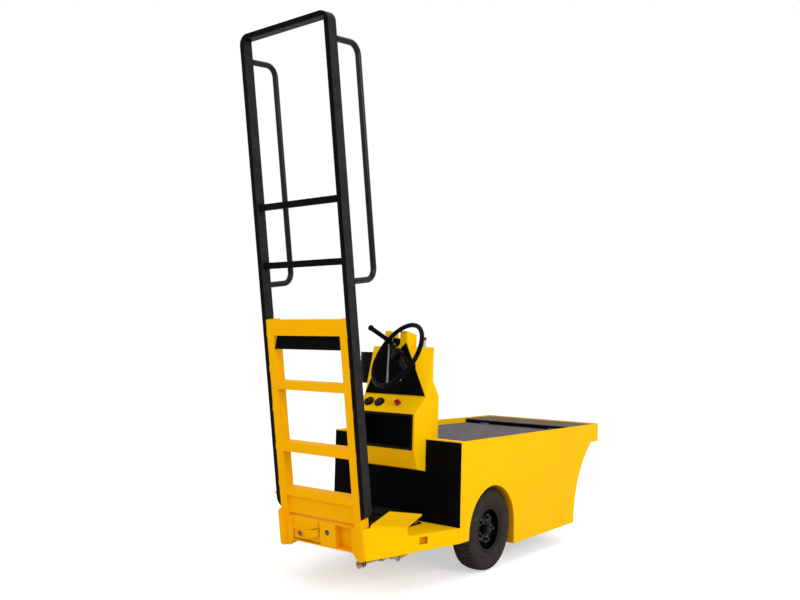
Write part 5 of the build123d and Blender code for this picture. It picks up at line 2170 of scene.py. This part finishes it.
@dataclass
class Steering(Assembly):
    """Steering wheel and its column.

    Args:
        ring_radius: radius of the wheel.
        grip_radius: radius of its rim.
        hub_radius: radius of the hub.
        hub_half: half of its length.
        spinner_angle: where the spinner handle stands, in degrees round the wheel.
        spinner_length: its length.
        spinner_radius: its radius.
        brace_ends: distance from the axis and angle of the thin brace's ends.
        brace_radius: its radius.
        column_foot: ahead, side and height of the column's foot on the cover.
        foot_radius: its radius there.
        ridge_count: finger ridges round the rim.
        collar: profile of the ring at the spinner's foot, from its radius.
        ridge: profile of a ridge of the spinner, from its radius.
        ball: radius of the spinner's ball.
    """

    ring_radius: float = 0.169
    grip_radius: float = 0.011
    hub_radius: float = 0.030
    hub_half: float = 0.014
    spinner_angle: float = 51.0
    spinner_length: float = 0.125
    spinner_radius: float = 0.011
    brace_ends: tuple[tuple[float, float], ...] = ((0.132, 54.0), (0.162, 184.0))
    brace_radius: float = 0.0048
    column_foot: tuple[float, float, float] = (-0.015, -0.090, 1.003)
    foot_radius: float = 0.027
    ridge_count: int = 90
    collar: Outline = ((-0.0005, 0.014), (0.0020, 0.0155), (0.0020, 0.020), (-0.0005, 0.0215))
    ridge: Outline = ((-0.0005, 0.0), (0.0010, 0.0022), (0.0010, 0.0070), (-0.0005, 0.0092))
    ball: float = 0.0145

    @property
    def axis(self) -> Vector:
        """Direction of the steering shaft, towards the driver."""
        return Vector(self.joint("steering_wheel_turn")["axis"])

    @property
    def centre(self) -> Vector:
        """Middle of the wheel."""
        return Vector(self.joint("steering_wheel_turn")["pos_m"])

    def on_wheel(self, radius: float, angle: float) -> Vector:
        """A point in the plane of the wheel.

        Args:
            radius: distance from the axis.
            angle: degrees round it.

        Returns:
            The point.
        """
        x = LEFT.cross(self.axis).normalized()
        y = self.axis.cross(x)
        a = math.radians(angle)
        return self.centre + (x * math.cos(a) + y * math.sin(a)) * radius

    def build(self) -> None:
        """Dresses the wheel and the column and adds their small parts."""
        self.dress(GRIP, "steering_wheel")
        self.dress(BLACK, "steering_column")
        self.grips()
        self.brace()
        self.spinner()
        self.hub()

    def grips(self) -> None:
        """Adds the finger ridges on the back of the rim."""
        reach = self.grip_radius * 0.97
        ridges = Form()
        for i in range(self.ridge_count):
            centre = self.on_wheel(self.ring_radius, 360.0 * i / self.ridge_count)
            out = (centre - self.centre).normalized()
            ridges.tube(arc(centre, out * reach, -self.axis * reach, 15.0, 165.0, 8), 0.0011, 6)
        ridges.piece("wheel_ridges", GRIP, Body.WHEEL)

    def brace(self) -> None:
        """Adds the thin brace across the wheel, coloured pale grey as a painted highlight along a dark bar.
        """
        start, end = (self.on_wheel(*place) for place in self.brace_ends)
        bar = Form()
        bar.tube([start, start.lerp(end, 0.5), end], self.brace_radius, 16)
        bar.piece("wheel_brace", BRACE_HIGHLIGHT_STEEL, Body.WHEEL)

    def spinner(self) -> None:
        """Adds the ridged sleeve and the ball of the spinner handle."""
        sleeve = Form()
        place = facing(self.on_wheel(self.ring_radius, self.spinner_angle), self.axis)
        profile = shifted(self.collar, self.spinner_radius)
        for i in range(6):
            profile += shifted(self.ridge, self.spinner_radius, 0.030 + 0.012 * i)
        sleeve.lathe(profile, place, 28)
        middle = self.spinner_length - 0.0075
        points = [(x, middle - z) for z, x in bend(self.ball, range(30, 180, 12))]
        points.append((0.0, middle + self.ball))
        sleeve.lathe(points, place, 32)
        sleeve.piece("spinner_sleeve", GRIP, Body.WHEEL)

    def hub(self) -> None:
        """Adds the hub's cap and the flange at the column's foot with its screws."""
        cap = Form()
        top = self.hub_half
        r = self.hub_radius
        profile = [
            (r, top - 0.006), (r + 0.0016, top - 0.005), (r + 0.0016, top - 0.001), (r - 0.003, top + 0.0026),
            (r - 0.012, top + 0.0042), (0.0, top + 0.0048),
        ]
        cap.lathe(profile, facing(self.centre, self.axis), 44)
        cap.piece("wheel_cap", GRIP, Body.WHEEL)
        flange = Form()
        foot = self.spot(*self.column_foot)
        f, thick = self.foot_radius, 0.0032
        flange.frame(circle(f + 0.011, 40), circle(f - 0.002, 40), thick, backward(foot))
        for y, z in bend(f + 0.0055, range(45, 360, 90)):
            flange.button(backward(foot + Vector((-thick, y, z))), 0.0030)
        flange.piece("column_flange", BLACK)


# Studio


@dataclass
class Lamp:
    """A soft box lamp.

    Args:
        name: its name.
        place: where it hangs.
        target: what it looks at.
        size: its width and height.
        power: its power in watts.
    """

    name: str
    place: tuple[float, float, float]
    target: tuple[float, float, float]
    size: tuple[float, float]
    power: float

    def hang(self) -> None:
        """Makes the lamp."""
        data = bpy.data.lights.new(self.name, "AREA")
        data.shape = "RECTANGLE"
        data.size, data.size_y = self.size
        data.energy = self.power
        lamp = bpy.data.objects.new(self.name, data)
        lamp.matrix_world = facing(self.place, Vector(self.place) - Vector(self.target), (1.0, 0.0, 0.0))
        bpy.context.scene.collection.objects.link(lamp)


@dataclass
class Studio:
    """Camera, lamps, floor and background.

    Args:
        eye: the camera's place.
        yaw: its heading from +X towards +Y, in radians.
        pitch: how far it looks up.
        roll: its turn about its own axis.
        focal: focal length in picture widths.
        rise: shift of the lens in picture widths.
        floor_reach: half of the floor's width.
        floor_grey: its brightness.
        floor_lift: light of its own, which only what looks at it directly sees.
        sky: strength of the plain light from all round.
        lamps: the lamps.
    """

    eye: tuple[float, float, float] = (-3.5769, -2.4573, 1.0760)
    yaw: float = 0.649
    pitch: float = 0.055
    roll: float = 0.025
    focal: float = 804.48 / 800.0
    rise: float = 7.49 / 800.0
    floor_reach: float = 30.0
    floor_grey: float = 0.74
    floor_lift: float = 0.53
    sky: float = 0.68
    lamps: tuple[Lamp, ...] = (
        Lamp("key_lamp", (-1.6, -5.2, 3.2), (0.0, 0.0, 0.4), (2.8, 2.2), 120.0),
        Lamp("rear_lamp", (-5.2, -0.4, 3.0), (-0.2, 0.0, 0.8), (3.0, 2.4), 48.0),
        Lamp("front_lamp", (4.6, -1.5, 3.6), (0.0, 0.0, 0.6), (3.0, 2.4), 40.0),
        Lamp("top_lamp", (0.0, -0.4, 5.2), (0.0, 0.0, 0.0), (4.0, 4.0), 25.0),
    )

    def build(self) -> None:
        """Sets up the whole studio."""
        self.camera()
        self.floor()
        self.background()
        for lamp in self.lamps:
            lamp.hang()
        bpy.context.scene.view_settings.view_transform = "Standard"

    def camera(self) -> None:
        """Stands the camera where the photograph was taken."""
        ahead = Vector(
            (
                math.cos(self.pitch) * math.cos(self.yaw),
                math.cos(self.pitch) * math.sin(self.yaw),
                math.sin(self.pitch),
            )
        )
        right_level = Vector((math.sin(self.yaw), -math.cos(self.yaw), 0.0))
        up_level = right_level.cross(ahead)
        c, s = math.cos(self.roll), math.sin(self.roll)
        right = right_level * c + up_level * s
        up = up_level * c - right_level * s
        turn = Matrix((right, up, -ahead)).transposed().to_4x4()
        data = bpy.data.cameras.new("photo_camera")
        data.sensor_fit = "HORIZONTAL"
        data.sensor_width = 36.0
        data.lens = data.sensor_width * self.focal
        data.shift_y = self.rise
        data.clip_end = 200.0
        camera = bpy.data.objects.new("photo_camera", data)
        camera.matrix_world = Matrix.Translation(Vector(self.eye)) @ turn
        bpy.context.scene.collection.objects.link(camera)
        bpy.context.scene.camera = camera

    @staticmethod
    def seen(nodes: Nodes) -> Socket:
        """A value that is 1 for what the camera, gloss or glass sees directly.

        Args:
            nodes: the node tree.

        Returns:
            The value's socket.
        """
        path = nodes.node("ShaderNodeLightPath")
        first = nodes.maths("MAXIMUM", path.outputs["Is Camera Ray"], path.outputs["Is Glossy Ray"])
        return nodes.maths("MAXIMUM", first, path.outputs["Is Transmission Ray"])

    def floor(self) -> None:
        """Lays the pale floor."""
        reach = self.floor_reach
        mesh = bpy.data.meshes.new("studio_floor")
        corners = [(-reach, -reach, 0.0), (reach, -reach, 0.0), (reach, reach, 0.0), (-reach, reach, 0.0)]
        mesh.from_pydata(corners, [], [(0, 1, 2, 3)])
        material = bpy.data.materials.new("studio_floor")
        material.use_nodes = True
        nodes = Nodes(material.node_tree)
        plain = nodes.node("ShaderNodeBsdfDiffuse")
        plain.inputs["Color"].default_value = (self.floor_grey, self.floor_grey, self.floor_grey, 1.0)
        glow = nodes.node("ShaderNodeEmission")
        nodes.link(nodes.maths("MULTIPLY", self.seen(nodes), self.floor_lift), glow.inputs["Strength"])
        both = nodes.node("ShaderNodeAddShader")
        nodes.link(plain.outputs[0], both.inputs[0])
        nodes.link(glow.outputs[0], both.inputs[1])
        out = nodes.node("ShaderNodeOutputMaterial")
        nodes.link(both.outputs[0], out.inputs["Surface"])
        mesh.materials.append(material)
        floor = bpy.data.objects.new("studio_floor", mesh)
        bpy.context.scene.collection.objects.link(floor)

    def background(self) -> None:
        """Makes the white background and the plain light from all round."""
        world = bpy.data.worlds.new("studio_world")
        bpy.context.scene.world = world
        world.use_nodes = True
        nodes = Nodes(world.node_tree)
        mix = nodes.node("ShaderNodeMixShader")
        nodes.link(self.seen(nodes), mix.inputs[0])
        for number, strength in enumerate((self.sky, 1.0)):
            light = nodes.node("ShaderNodeBackground")
            light.inputs["Color"].default_value = (1.0, 1.0, 1.0, 1.0)
            light.inputs["Strength"].default_value = strength
            nodes.link(light.outputs[0], mix.inputs[1 + number])
        out = nodes.node("ShaderNodeOutputWorld")
        nodes.link(mix.outputs[0], out.inputs["Surface"])


def main() -> None:
    """Builds the studio and every sub-assembly in order."""
    logging.basicConfig(level=logging.INFO, format="%(name)s: %(message)s")
    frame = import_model()
    Studio().build()
    for kind in (CargoBody, Driveline, Wheels, Platform, Hitch, Ladder, Console, Steering):
        LOG.info("assembly %s", kind.__name__)
        kind(frame).build()


if __name__ == "__main__":
    main()
